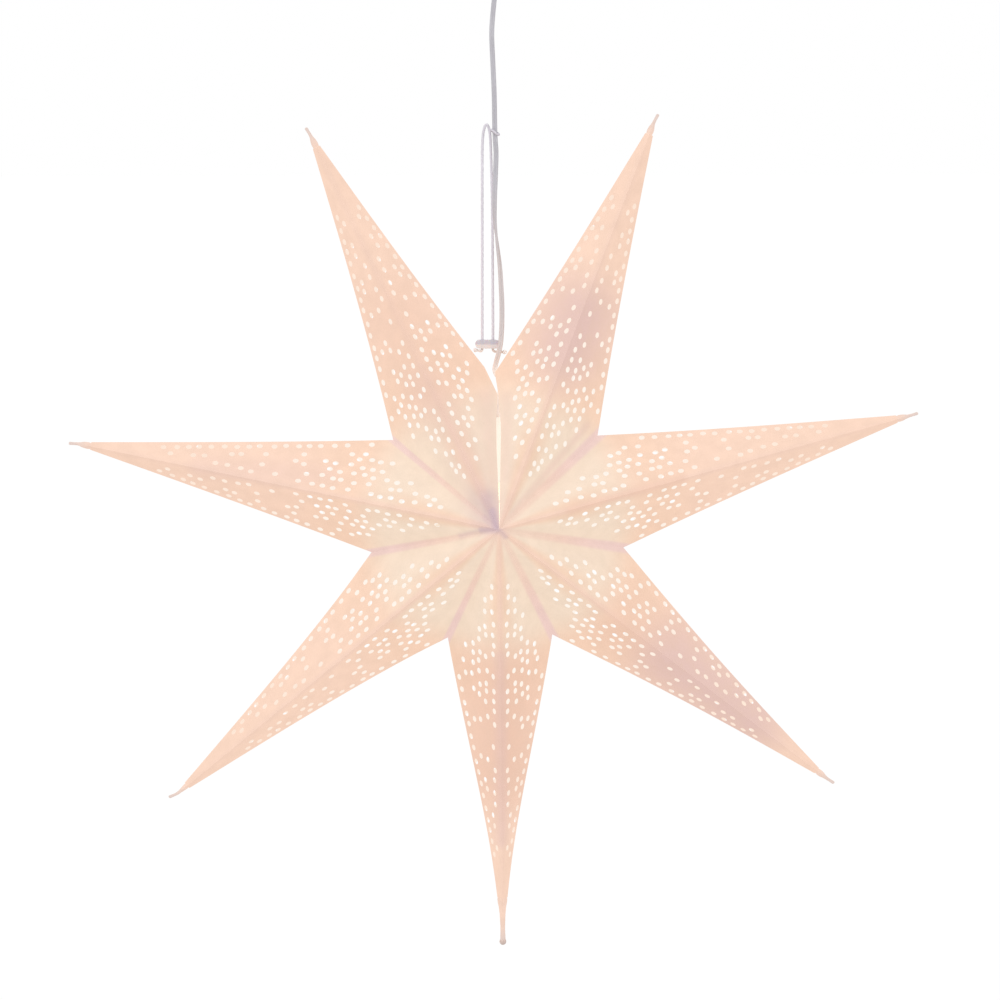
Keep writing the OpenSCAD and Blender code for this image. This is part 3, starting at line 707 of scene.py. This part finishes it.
def flap(k):
    """The doubled card behind the valley after point k, front and rear."""
    verts, faces = [], []
    for face in (-1, 1):
        for side, j in ((1, k), (-1, k + 1)):
            c, u, v, outward, n2, *_ = panel(j % POINTS, side, face)
            down = Vector((n2.y, -n2.x)).normalized()
            first = len(verts)
            for i in range(FLAP_STEPS + 1):
                s = FLAP_IN + (FLAP_OUT - FLAP_IN) * i / FLAP_STEPS
                for d in range(FLAP_ROWS + 1):
                    p = n2 * s + down * (FLAP_W * s * d / FLAP_ROWS)
                    wave = 0.12 * sin(i * 1.7 + d)
                    place = c + u * p.x + v * p.y - outward * (CARD_T + FLAP_BEHIND + wave)
                    verts.append(CENTRE + place * MM)
            for i in range(FLAP_STEPS):
                for d in range(FLAP_ROWS):
                    a = first + (FLAP_ROWS + 1) * i + d
                    b = a + FLAP_ROWS + 1
                    quad = (a, a + 1, b + 1, b)
                    faces.append(quad if side * face < 0 else quad[::-1])
    return mesh_piece(f"glued_flap_{k + 1}", verts, faces, False)


flaps = []
for k in (0, *BENDING, 6):
    piece = flap(k)
    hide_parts(f"valley_flap_{k + 1}")
    if k in BENDING:
        bend(piece)
    else:
        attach(piece, "left_valley" if k else "right_valley")
    flaps.append(piece)
print("flaps", len(flaps))

# %% [markdown]
# Tails
#
# At its end each point is pinched flat, twisted and glued into a thin tail. The lowest one is longer
# and carries a bead. Each tail starts as the open mouth of its point, a narrow diamond, and turns
# into a small rounded stub.

# %% Tails
TAIL_R, LOW_TAIL_R, BEAD_R = 1.4, 2.25, 2.8
TAIL_BEND = [(0, 0), (0.6, -0.6), (0.5, 1.2), (-0.8, 0.5), (0.6, 0.4), (0.7, 0.9), (-2.0, -0.5)]
PINCH_AT = [0.55, 1.1, 1.1, 1.1, 1.1, 1.1, 0.75]
TAIL_STEPS, TAIL_SIDES, TAIL_LAP = 34, 16, 1.5
TAIL_TWIST = radians(150)


def tail(k):
    """The pinched and twisted end of point k."""
    length = tail_of(k)
    ahead, deep = polar(1, tip_azimuth(k)), Vector((0, -1, 0))
    across = deep.cross(ahead)
    end = length - (BEAD_R if k == 0 else 0)
    thin = LOW_TAIL_R if k == 0 else TAIL_R
    verts = []
    for i in range(TAIL_STEPS + 1):
        s = -TAIL_LAP + (end + TAIL_LAP) * i / TAIL_STEPS
        inset = (CARD_T + 0.1) * (1 - ease(s, 0, 3))
        cone_w = (length - s) * END_WIDTH * draw_share(k, TIP_R - length + s) - inset
        cone_d = (length - s) * END_DEPTH - inset
        pinch, root = ease(s, -2, PINCH_AT[k] * length), ease(s, -TAIL_LAP, 6)
        half_w = hypot(max(cone_w, 0) * (1 - pinch * (PINCH_AT[k] < 1)), thin * root)
        half_d = hypot(max(cone_d, 0) * (1 - pinch), 0.8 * thin * root)
        close = 1 - 0.5 * ease(s, end - 0.8, end)
        turn = TAIL_TWIST * ease(s, 0.2 * length, length)
        bow = ease(s, 0.35 * length, length) ** 2
        off = across * TAIL_BEND[k][0] * bow + deep * TAIL_BEND[k][1] * bow
        for j in range(TAIL_SIDES):
            a = tau * j / TAIL_SIDES
            ca, sa = cos(a), sin(a)
            diamond = (1 - pinch) / (abs(ca) + abs(sa)) + pinch * (1 + 0.09 * cos(4 * a + s * 0.5))
            x, y = half_w * diamond * ca * close, half_d * diamond * sa * close
            x, y = x * cos(turn) - y * sin(turn), x * sin(turn) + y * cos(turn)
            verts.append(CENTRE + MM * (ahead * (TIP_R - length + s) + off + across * x + deep * y))
    return mesh_piece(f"tail_{k + 1}", verts, tube_faces(TAIL_STEPS + 1, TAIL_SIDES))


tails = []
for k in range(POINTS):
    piece = tail(k)
    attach(piece, BODIES[k])
    tails.append(piece)
print("tails", len(tails))

# %% The bead on the lowest tail
BEAD_STEPS, BEAD_SIDES = 12, 20
bead_at = CENTRE + MM * polar(TIP_R - BEAD_R, tip_azimuth(0))
bead_verts = []
for i in range(BEAD_STEPS + 1):
    h = pi * i / BEAD_STEPS
    for j in range(BEAD_SIDES):
        a = tau * j / BEAD_SIDES
        r = BEAD_R * (1 + 0.03 * sin(5 * a + 3 * h))
        bead_verts.append(bead_at + MM * Vector((
            r * sin(h) * cos(a), r * sin(h) * sin(a), BEAD_R * cos(h))))
quads = tube_faces(BEAD_STEPS + 1, BEAD_SIDES, caps=False)
bead = mesh_piece("bead", bead_verts, [(a, d, c, b) for a, b, c, d in quads])
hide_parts("tail_bead")
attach(bead, "hanging")
print("bead made")

# %% [markdown]
# Materials: small helpers
#
# A material here is a graph of nodes. `add` places a node, sets its options and fills its inputs.
# Colours are written as they look on a screen and turned into linear light.

# %% Node helpers


def fill(tree, node, inputs):
    """Set a node's inputs: a socket is joined, any other value is filled in."""
    for key, value in inputs.items():
        socket = node.inputs[key]
        if isinstance(value, bpy.types.NodeSocket):
            tree.links.new(value, socket)
        else:
            socket.default_value = value


def add(tree, kind, inputs=None, **options):
    """A new node, with its options set and its inputs filled."""
    node = tree.nodes.new("ShaderNode" + kind)
    for key, value in options.items():
        setattr(node, key, value)
    fill(tree, node, inputs or {})
    return node


def linear(*rgb):
    """A screen colour, 0 to 255, as linear light with alpha."""
    return tuple((c / 255 / 12.92) if c <= 10 else ((c / 255 + 0.055) / 1.055) ** 2.4 for c in rgb) + (1,)


def mixed(tree, factor, a, b, blend="MIX"):
    return add(tree, "Mix", {0: factor, 6: a, 7: b}, data_type="RGBA", blend_type=blend).outputs[2]


def shaded(tree, colour, tone):
    """A colour made darker or lighter by a tone about 1."""
    return mixed(tree, 1.0, colour, tone, "MULTIPLY")


def mapped(tree, value, low, high, to_low=0.0, to_high=1.0):
    return add(tree, "MapRange", {0: value, 1: low, 2: high, 3: to_low, 4: to_high},
               interpolation_type="SMOOTHSTEP").outputs[0]


def calc(tree, operation, a, b=0.0, c=0.0, clamp=False):
    return add(tree, "Math", {0: a, 1: b, 2: c}, operation=operation, use_clamp=clamp).outputs[0]


def vector_of(tree, operation, a, b, out="Vector"):
    return add(tree, "VectorMath", {0: a, 1: b}, operation=operation).outputs[out]


def bumped(tree, strength, depth, height):
    """Normals of a surface with a fine relief, depth metres deep."""
    return add(tree, "Bump", {"Strength": strength, "Distance": depth, "Height": height}).outputs[0]


def new_group(name, inputs, outputs):
    """An empty shader group, what comes into it, and its output node; None marks a place."""
    tree = bpy.data.node_groups.new(name, "ShaderNodeTree")
    for label, value in inputs.items():
        kind = "NodeSocketVector" if value is None else "NodeSocketFloat"
        socket = tree.interface.new_socket(name=label, in_out="INPUT", socket_type=kind)
        if value is not None:
            socket.default_value = value
    for label in outputs:
        tree.interface.new_socket(name=label, in_out="OUTPUT", socket_type="NodeSocketFloat")
    return tree, tree.nodes.new("NodeGroupInput").outputs, tree.nodes.new("NodeGroupOutput")


def use_group(tree, group, inputs):
    return add(tree, "Group", inputs, node_tree=group).outputs


def new_material(name):
    material = bpy.data.materials.new(name)
    material.use_nodes = True
    return material, material.node_tree, material.node_tree.nodes["Principled BSDF"]


print("helpers ready")

# %% [markdown]
# Shared effects
#
# Three effects are used again and again, so each is a group: the fibres of card, a soft streak of
# shade between two places, and the fine unevenness of moulded plastic or worn metal.

# %% Effect: card fibres
tree, given, result = new_group("card_fibres", {"Place": None, "Depth": 1.0}, ["Tone", "Height"])
card_fibres = tree
long_way = vector_of(tree, "MULTIPLY", given["Place"], (1.0, 1.0, 0.35))
fibre = add(tree, "TexNoise", {"Vector": long_way, "Scale": 1.1, "Detail": 4.0, "Roughness": 0.65})
cloud = add(tree, "TexNoise", {"Vector": given["Place"], "Scale": 0.09, "Detail": 2.0})
both = calc(tree, "MULTIPLY", fibre.outputs[0], 0.45)
total = calc(tree, "ADD", both, calc(tree, "MULTIPLY", cloud.outputs[0], 0.55))
tone = calc(tree, "MULTIPLY", total, given["Depth"])
fill(tree, result, {"Tone": tone, "Height": fibre.outputs[0]})

# %% Effect: soft streak
tree, given, result = new_group(
    "soft_streak", {"Place": None, "Start": None, "End": None, "Reach": 40.0, "Strength": 1.0}, ["Mask"])
soft_streak = tree
from_start = vector_of(tree, "SUBTRACT", given["Place"], given["Start"])
whole = vector_of(tree, "SUBTRACT", given["End"], given["Start"])
long_2 = calc(tree, "MAXIMUM", vector_of(tree, "DOT_PRODUCT", whole, whole, "Value"), 0.01)
so_far = vector_of(tree, "DOT_PRODUCT", from_start, whole, "Value")
part = calc(tree, "DIVIDE", so_far, long_2, clamp=True)
foot = add(tree, "VectorMath", {0: whole, "Scale": part}, operation="SCALE").outputs[0]
away = vector_of(tree, "DISTANCE", from_start, foot, "Value")
near = mapped(tree, calc(tree, "DIVIDE", away, given["Reach"]), 1.0, 0.0)
fill(tree, result, {"Mask": calc(tree, "MULTIPLY", near, given["Strength"])})


def streaks(tree, place, marks):
    """The strongest of several streaks; a mark is (start, end, how far it reaches, strength)."""
    mask = None
    for start, end, reach, strength in marks:
        one = use_group(tree, soft_streak, {"Place": place, "Start": tuple(start), "End": tuple(end),
                                            "Reach": reach, "Strength": strength})[0]
        mask = one if mask is None else calc(tree, "MAXIMUM", mask, one)
    return mask


# %% Effect: uneven surface
tree, given, result = new_group(
    "uneven", {"Place": None, "Size": 300.0, "Low": 0.3, "High": 0.5}, ["Roughness", "Tone", "Height"])
uneven = tree
speckle = add(tree, "TexNoise", {"Vector": given["Place"], "Scale": given["Size"], "Detail": 3.0})
smear = add(tree, "TexNoise", {"Vector": given["Place"], "Scale": 35.0, "Detail": 2.0}).outputs[0]
rough = add(tree, "MapRange", {0: smear, 1: 0.3, 2: 0.7, 3: given["Low"], 4: given["High"]})
tone = mapped(tree, smear, 0.25, 0.75, 0.94, 1.03)
fill(tree, result, {"Roughness": rough.outputs[0], "Tone": tone, "Height": speckle.outputs[0]})
print("effects", len(bpy.data.node_groups))

# %% [markdown]
# Lit card, outside
#
# The card glows: the lamp inside shines through it. The glow is cream round the centre, where the
# lamp is near, and peach further out. It is dimmer where the card is doubled at the valleys, along
# the ridges, and in a few soft shades that the lampholder and the folds throw. The light that falls
# on the card from the room is taken off each colour first, and what is left is given off.

# %% Lit card, outside
CARD = (0.30, 0.26, 0.235)
ROOM = 0.80


def glow(*rgb):
    """What the card gives off, to look like that screen colour in the room's plain light."""
    return tuple(max(0.0, c - b * ROOM) for c, b in zip(linear(*rgb), CARD)) + (1,)


def card_material(name, low, high):
    """A card material to fill in, with its tree and shader, the fibres' tone from low to high and
    outputs, the distance from the centre and the place on the middle plane, in millimetres."""
    material, tree, bsdf = new_material(name)
    moved = vector_of(tree, "SUBTRACT", add(tree, "TexCoord").outputs["Object"], tuple(CENTRE))
    flat_place = vector_of(tree, "MULTIPLY", moved, (1 / MM, 0.0, 1 / MM))
    full_place = vector_of(tree, "MULTIPLY", moved, (1 / MM, 1 / MM, 1 / MM))
    radius = add(tree, "VectorMath", {0: flat_place}, operation="LENGTH").outputs["Value"]
    fibres = use_group(tree, card_fibres, {"Place": full_place, "Depth": 1.0})
    tone = mapped(tree, fibres["Tone"], 0.3, 0.7, low, high)
    bsdf.inputs["Emission Strength"].default_value = 1.0
    return material, tree, bsdf, tone, fibres, radius, flat_place


def along(k, start, end, reach, strength):
    """A mark on the ridge of point k, between two distances from the centre."""
    return polar(start, tip_azimuth(k)), polar(end, tip_azimuth(k)), reach, strength


lit_card, tree, bsdf, tone, fibres, radius, flat_place = card_material("lit_card", 0.955, 1.03)
ridge = add(tree, "Attribute", attribute_name="ridge").outputs["Fac"]
valley = add(tree, "Attribute", attribute_name="valley").outputs["Fac"]
colour = mixed(tree, mapped(tree, radius, 88.0, 122.0), glow(243, 222, 202), glow(245, 211, 188))
colour = mixed(tree, mapped(tree, radius, 125.0, 175.0), colour, glow(247, 213, 192))

# Close to the centre, painted orange rays in the glow beside the ridges; further out only a thin line of
# painted shade on the ridge
fan = calc(tree, "DIVIDE", ridge, calc(tree, "MAXIMUM", radius, 1.0))
rays = calc(tree, "MULTIPLY", mapped(tree, fan, 0.34, 0.06), mapped(tree, radius, 118.0, 60.0))
colour = mixed(tree, rays, colour, glow(242, 210, 186))
line = calc(tree, "MULTIPLY", mapped(tree, ridge, 7.0, 0.5), mapped(tree, radius, 330.0, 150.0, 0.35, 0.8))
colour = mixed(tree, line, colour, glow(241, 208, 190))

# Soft shades, placed in millimetres about the centre
cloudy = mapped(tree, fibres["Tone"], 0.32, 0.66, 0.75, 1.15)
warm = streaks(tree, flat_place, (along(0, 128, 205, 58, 0.8), along(1, 135, 170, 50, 0.6),
                                  along(2, 60, 150, 9, 0.5), along(4, 115, 185, 55, 0.35)))
colour = mixed(tree, calc(tree, "MULTIPLY", warm, cloudy, clamp=True), colour, glow(235, 196, 175))
mauve = streaks(tree, flat_place, (
    along(3, 150, 178, 52, 1.0), along(1, 180, 262, 50, 0.95), along(0, 105, 262, 9, 0.5),
    along(4, 20, 60, 30, 0.35), ((-60, 0, 112), (-12, 0, 40), 26, 0.3),
    ((-240, 0, 44), (-135, 0, 38), 15, 0.3), (polar(12, 50), polar(104, 46.6), 6, 0.4),
    ((-8, 0, 98), (-5, 0, 36), 15, 0.32), ((7, 0, 98), (5, 0, 40), 11, 0.28)))
colour = mixed(tree, calc(tree, "MULTIPLY", mauve, cloudy, clamp=True), colour, glow(227, 194, 185))

# Painted shade where the card is doubled at a valley and lets less light through, a little wider and
# pinker towards the notch
band = calc(tree, "MULTIPLY_ADD", radius, 0.014, 3.1)
in_band = mapped(tree, calc(tree, "SUBTRACT", valley, band), 1.3, -1.9)
in_band = calc(tree, "MULTIPLY", in_band, mapped(tree, radius, 10.0, 70.0, 0.45, 0.95))
valley_shade_colour = mixed(tree, mapped(tree, radius, 40.0, 95.0), glow(239, 208, 193), glow(238, 209, 202))
colour = mixed(tree, in_band, colour, valley_shade_colour)

# Painted shade where the card gathers at the very centre; it ends sharply at the seam
centre_shade = streaks(tree, flat_place, (
    ((-2.5, 0, 2), (-5.5, 0, 14), 9, 0.95), ((-6, 0, 12), (-9, 0, 23), 15, 0.6),
    ((-1, 0, 0), (-14, 0, -1.2), 5.5, 0.75), ((-14, 0, -1.2), (-30, 0, -7), 4.5, 0.3),
    ((-2, 0, 2), (-10, 0, 9), 9, 0.6), ((-8, 0, 10), (-12, 0, 20), 24, 0.35),
    ((0, 0, 0), (5, 0, -6), 4, 0.45)))
x_place, _, z_place = add(tree, "SeparateXYZ", {0: flat_place}).outputs
right = calc(tree, "MULTIPLY", mapped(tree, x_place, -0.6, 0.4), mapped(tree, z_place, -1.0, 2.0))
centre_shade = calc(tree, "MULTIPLY", centre_shade, calc(tree, "SUBTRACT", 1.0, right))
colour = mixed(tree, centre_shade, colour, glow(202, 179, 187))
fill(tree, bsdf, {
    "Base Color": shaded(tree, (*CARD, 1), tone), "Roughness": 0.86, "Specular IOR Level": 0.25,
    "Emission Color": shaded(tree, colour, tone),
    "Normal": bumped(tree, 0.22, 0.00025, fibres["Height"])})
print("lit card", len(tree.nodes), "nodes")

# %% Lit card, inside
# The inside gives off a painted glow of the lamp's light, cream near the centre and peach further out.
lit_inside, tree, bsdf, tone, _, radius, _ = card_material("lit_inside", 0.96, 1.04)
colour = mixed(tree, mapped(tree, radius, 90.0, 260.0), (0.87, 0.81, 0.74, 1), (0.86, 0.71, 0.60, 1))
fill(tree, bsdf, {"Base Color": (0.12, 0.10, 0.09, 1), "Roughness": 0.9,
                  "Emission Color": shaded(tree, colour, tone)})
for piece in halves.values():
    piece.data.materials.append(lit_card)
    piece.data.materials.append(lit_inside)
print("card on", len(halves), "halves")

# %% Card of the glued flaps and of the twisted tails
# The flaps give off a painted glow of the lamp's light.
glued_card, tree, bsdf, tone, *_ = card_material("glued_card", 0.93, 1.04)
fill(tree, bsdf, {"Base Color": shaded(tree, (*CARD, 1), tone), "Roughness": 0.88,
                  "Emission Color": shaded(tree, glow(247, 230, 211), tone), "Emission Strength": 0.92})
for piece in flaps:
    piece.data.materials.append(glued_card)
    thick = piece.modifiers.new("card", "SOLIDIFY")
    thick.thickness = CARD_T * MM
    thick.offset = -1

# The tails give off a painted glow of the lamp's light, dimmer at their very ends.
twisted_card, tree, bsdf, tone, fibres, radius, _ = card_material("twisted_card", 0.9, 1.05)
colour = mixed(tree, mapped(tree, radius, 328.0, 350.0), glow(246, 213, 194), glow(226, 206, 198))
fill(tree, bsdf, {"Base Color": (*CARD, 1), "Roughness": 0.8,
                  "Emission Color": shaded(tree, colour, tone),
                  "Normal": bumped(tree, 0.4, 0.0004, fibres["Height"])})
for piece in tails:
    piece.data.materials.append(twisted_card)
print("flaps and tails dressed")

# %% [markdown]
# Cord, string, plastic and metal
#
# Vinyl is smooth with a soft shine, cotton string is rough with loose fibres, and moulded plastic
# has a fine spark-eroded grain. One helper builds them all from the shared uneven surface, with
# the numbers that make each its own.

# %% One helper for the plain finishes
finishes = {}


def uneven_material(name, size, low, high):
    """A new finish: its tree and shader, the place, and the outputs of the uneven surface."""
    finishes[name], tree, bsdf = new_material(name)
    place = add(tree, "TexCoord").outputs["Object"]
    surface = use_group(tree, uneven, {"Place": place, "Size": size, "Low": low, "High": high})
    return tree, bsdf, place, surface


def finish(name, rgb, low, high, size, bump_depth=0.0001, bump_strength=0.15, spread_to=None,
           warmer=(), **plain):
    """A finish with a colour that varies a little, uneven roughness and a fine grain.

    warmer lists (colour, start, end): lower down, from start to end, painted light from the star tints it.
    """
    tree, bsdf, place, surface = uneven_material(name, size, low, high)
    colour = linear(*rgb)
    if spread_to:
        colour = mixed(tree, mapped(tree, surface["Height"], 0.35, 0.65), colour, linear(*spread_to))
    height = add(tree, "SeparateXYZ", {0: place}).outputs[2]
    for rgb_low, start, end in warmer:
        colour = mixed(tree, mapped(tree, height, start, end), colour, linear(*rgb_low))
    fill(tree, bsdf, {"Base Color": shaded(tree, colour, surface["Tone"]),
                      "Roughness": surface["Roughness"],
                      "Normal": bumped(tree, bump_strength, bump_depth, surface["Height"])})
    fill(tree, bsdf, {key.replace("_", " "): value for key, value in plain.items()})


# %% The finishes
# The cord, the string and the slider get lighter and warmer lower down: painted light from the star.
finish("white_cord_sheath", (196, 194, 201), 0.30, 0.42, 500, Coat_Weight=0.15, warmer=(
    ((220, 211, 211), -0.235, -0.325), ((255, 240, 233), -0.365, -0.40)))
finish("white_string", (238, 234, 242), 0.85, 0.95, 2600, 0.0003, 0.3, (226, 221, 231),
       (((252, 243, 238), -0.374, -0.380),))
finish("tied_string", (226, 222, 231), 0.85, 0.95, 2600, 0.0003, 0.3, (212, 208, 217))
finish("bead_resin", (232, 210, 200), 0.4, 0.55, 900, 0.0002, 0.3, (220, 196, 186))
finish("slider_plastic", (213, 205, 213), 0.38, 0.5, 900, Subsurface_Weight=0.1,
       warmer=(((246, 233, 229), -0.3735, -0.3755),))
# The holder plastic gives off a faint painted glow, standing in for the lamp's light on it.
finish("holder_plastic", (250, 246, 238), 0.3, 0.42, 900, Emission_Strength=0.12,
       Emission_Color=(1, 0.9, 0.8, 1))
finish("cup_plastic", (240, 239, 236), 0.28, 0.4, 900, Coat_Weight=0.1)
finish("holder_ceramic", (236, 231, 221), 0.6, 0.8, 1400, 0.0002, 0.3)
for name, rgb, low, high, size, metal in (
    ("clamp_plastic", (222, 221, 214), 0.45, 0.6, 900, 0),
    ("grip_plastic", (238, 237, 233), 0.3, 0.45, 900, 0),
    ("block_plastic", (235, 234, 222), 0.4, 0.55, 900, 0),
    ("core_sheath", (214, 214, 222), 0.35, 0.5, 900, 0),
    ("lamp_insulator_glass", (26, 24, 30), 0.08, 0.16, 300, 0),
    ("bare_copper", (214, 138, 96), 0.3, 0.45, 1500, 1),
    ("zinc_screws", (196, 197, 202), 0.28, 0.45, 1200, 1),
    ("contact_brass", (214, 184, 112), 0.25, 0.4, 1200, 1),
    ("lamp_foot_metal", (196, 196, 190), 0.3, 0.5, 1200, 1),
    ("lamp_cap_metal", (214, 206, 184), 0.22, 0.36, 1200, 1),
    ("filament_metal", (200, 200, 205), 0.3, 0.4, 1200, 1),
    ("bracket_steel", (204, 205, 210), 0.3, 0.5, 1200, 1),
):
    finish(name, rgb, low, high, size, Metallic=metal)
print("finishes", len(finishes))

# %% Glass and the lit strips
for name, rgb, clear in (("bulb_glass", (255, 250, 238), 0.95), ("stem_glass", (244, 246, 244), 0.8)):
    tree, bsdf, _, surface = uneven_material(name, 200.0, 0.02, 0.07)
    fill(tree, bsdf, {"Base Color": linear(*rgb), "Roughness": surface["Roughness"], "IOR": 1.46,
                      "Transmission Weight": clear, "Emission Color": (1, 0.84, 0.70, 1),
                      "Emission Strength": 0.12})

tree, bsdf, _, surface = uneven_material("filament_lit", 1800.0, 0.5, 0.7)
mask = mapped(tree, surface["Height"], 0.35, 0.65)
fill(tree, bsdf, {"Base Color": linear(250, 214, 120), "Emission Strength": 4.0,
                  "Emission Color": mixed(tree, mask, (1, 0.80, 0.45, 1), (1, 0.92, 0.70, 1))})
print("glass and strips made")

# %% [markdown]
# Dress the frame's own parts
#
# The hard parts keep the frame's shape. Each gets its finish, soft shading, and where it is moulded
# or pressed a small bevel, because no real edge is perfectly sharp.

# %% Finishes and bevels on the frame's parts
SHARP = radians(35)
BEVELS = {"slider_bar": 0.7, "ceiling_cup": 0.5, "terminal_block": 0.5, "holder_cap": 0.5,
          "holder_body": 0.5, "cord_grip": 0.4, "grip_nut": 0.4, "cord_clamp": 0.4,
          "ceiling_bracket": 0.3, "cup_screws": 0.3, "holder_insert": 0.3, "lamp_foot": 0.2,
          "cord_end": 0.2, "lamp_cap": 0.1}
slot_of = {s["node"]: s.get("material_slot", s["node"]) for s in frame["record"]["subparts"]}
for name, node in frame["nodes"].items():
    if node.hide_render:
        continue
    node.data.materials.clear()
    node.data.materials.append(finishes[slot_of[name]])
    node.data.polygons.foreach_set("use_smooth", [True] * len(node.data.polygons))
    if name in BEVELS:
        edge = node.modifiers.new("soft_edge", "BEVEL")
        edge.width, edge.segments = BEVELS[name] * MM, 3
        edge.limit_method, edge.angle_limit = "ANGLE", SHARP
        even = node.modifiers.new("even_shading", "WEIGHTED_NORMAL")
        even.keep_sharp = True
    else:
        split = node.modifiers.new("sharp_edges", "EDGE_SPLIT")
        split.split_angle = SHARP
for piece, slot in ((cord, "white_cord_sheath"), (string, "white_string"), (hitch, "tied_string"),
                    (bead, "bead_resin"), *((f, "white_string") for f in feet + knots)):
    piece.data.materials.append(finishes[slot])
print("dressed", sum(not n.hide_render for n in frame["nodes"].values()), "frame parts")

# %% [markdown]
# Floor, room and lamps
#
# The lantern hangs in a plain bright room. The floor lies where a real one would, far below, and is
# clear from underneath so that it never hides the star. White is given only to what the camera, a
# reflection or a piece of glass sees; the star itself is lit at a plain level.

# %% Floor and room
FLOOR_Z, FLOOR_HALF = -2.4, 40
corners = [(x * FLOOR_HALF, y * FLOOR_HALF, FLOOR_Z) for x, y in ((-1, -1), (1, -1), (1, 1), (-1, 1))]
ground = mesh_piece("floor", corners, [(0, 1, 2, 3)], False)
ground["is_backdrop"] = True


def seen_ray(tree):
    """1 for what the camera, a reflection or a glass sees."""
    path = add(tree, "LightPath").outputs
    both = calc(tree, "MAXIMUM", path["Is Camera Ray"], path["Is Glossy Ray"])
    return calc(tree, "MAXIMUM", both, path["Is Transmission Ray"])


pale, tree, bsdf = new_material("pale_floor")
fill(tree, bsdf, {"Base Color": (0.9, 0.9, 0.9, 1), "Roughness": 0.9})
white = add(tree, "Emission", {"Color": (1, 1, 1, 1), "Strength": 1.12})
clear = add(tree, "BsdfTransparent")
part = calc(tree, "MULTIPLY", seen_ray(tree), 0.8)
lit_floor = add(tree, "MixShader", {0: part, 1: bsdf.outputs[0], 2: white.outputs[0]})
below = add(tree, "NewGeometry").outputs["Backfacing"]
one_sided = add(tree, "MixShader", {0: below, 1: lit_floor.outputs[0], 2: clear.outputs[0]})
fill(tree, tree.nodes["Material Output"], {"Surface": one_sided.outputs[0]})
ground.data.materials.append(pale)

world = bpy.data.worlds.new("room")
bpy.context.scene.world = world
world.use_nodes = True
tree = world.node_tree
tree.nodes.clear()
plain_light = add(tree, "Background", {"Color": (1, 0.995, 0.985, 1), "Strength": 0.62})
white_back = add(tree, "Background", {"Color": (1, 1, 1, 1), "Strength": 1.0})
room = add(tree, "MixShader", {0: seen_ray(tree), 1: plain_light.outputs[0], 2: white_back.outputs[0]})
add(tree, "OutputWorld", {"Surface": room.outputs[0]})
print("room ready")

# %% Lamps
for name, azimuth, elevation, distance, size, power in (
    ("key", -38, 40, 3.2, 2.2, 34), ("fill", 50, 15, 3.6, 2.6, 16), ("rear", 165, 35, 3.6, 2.4, 20),
):
    soft = bpy.data.lights.new(name, "AREA")
    soft.shape, soft.size, soft.energy = "DISK", size, power
    faced_to_star(soft, azimuth, elevation, distance)
bpy.context.scene.view_settings.view_transform = "Standard"
print("lamps ready")

# %% Sizes, and finish
low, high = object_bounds()
print("visual box", [round(v, 4) for v in low], [round(v, 4) for v in high])
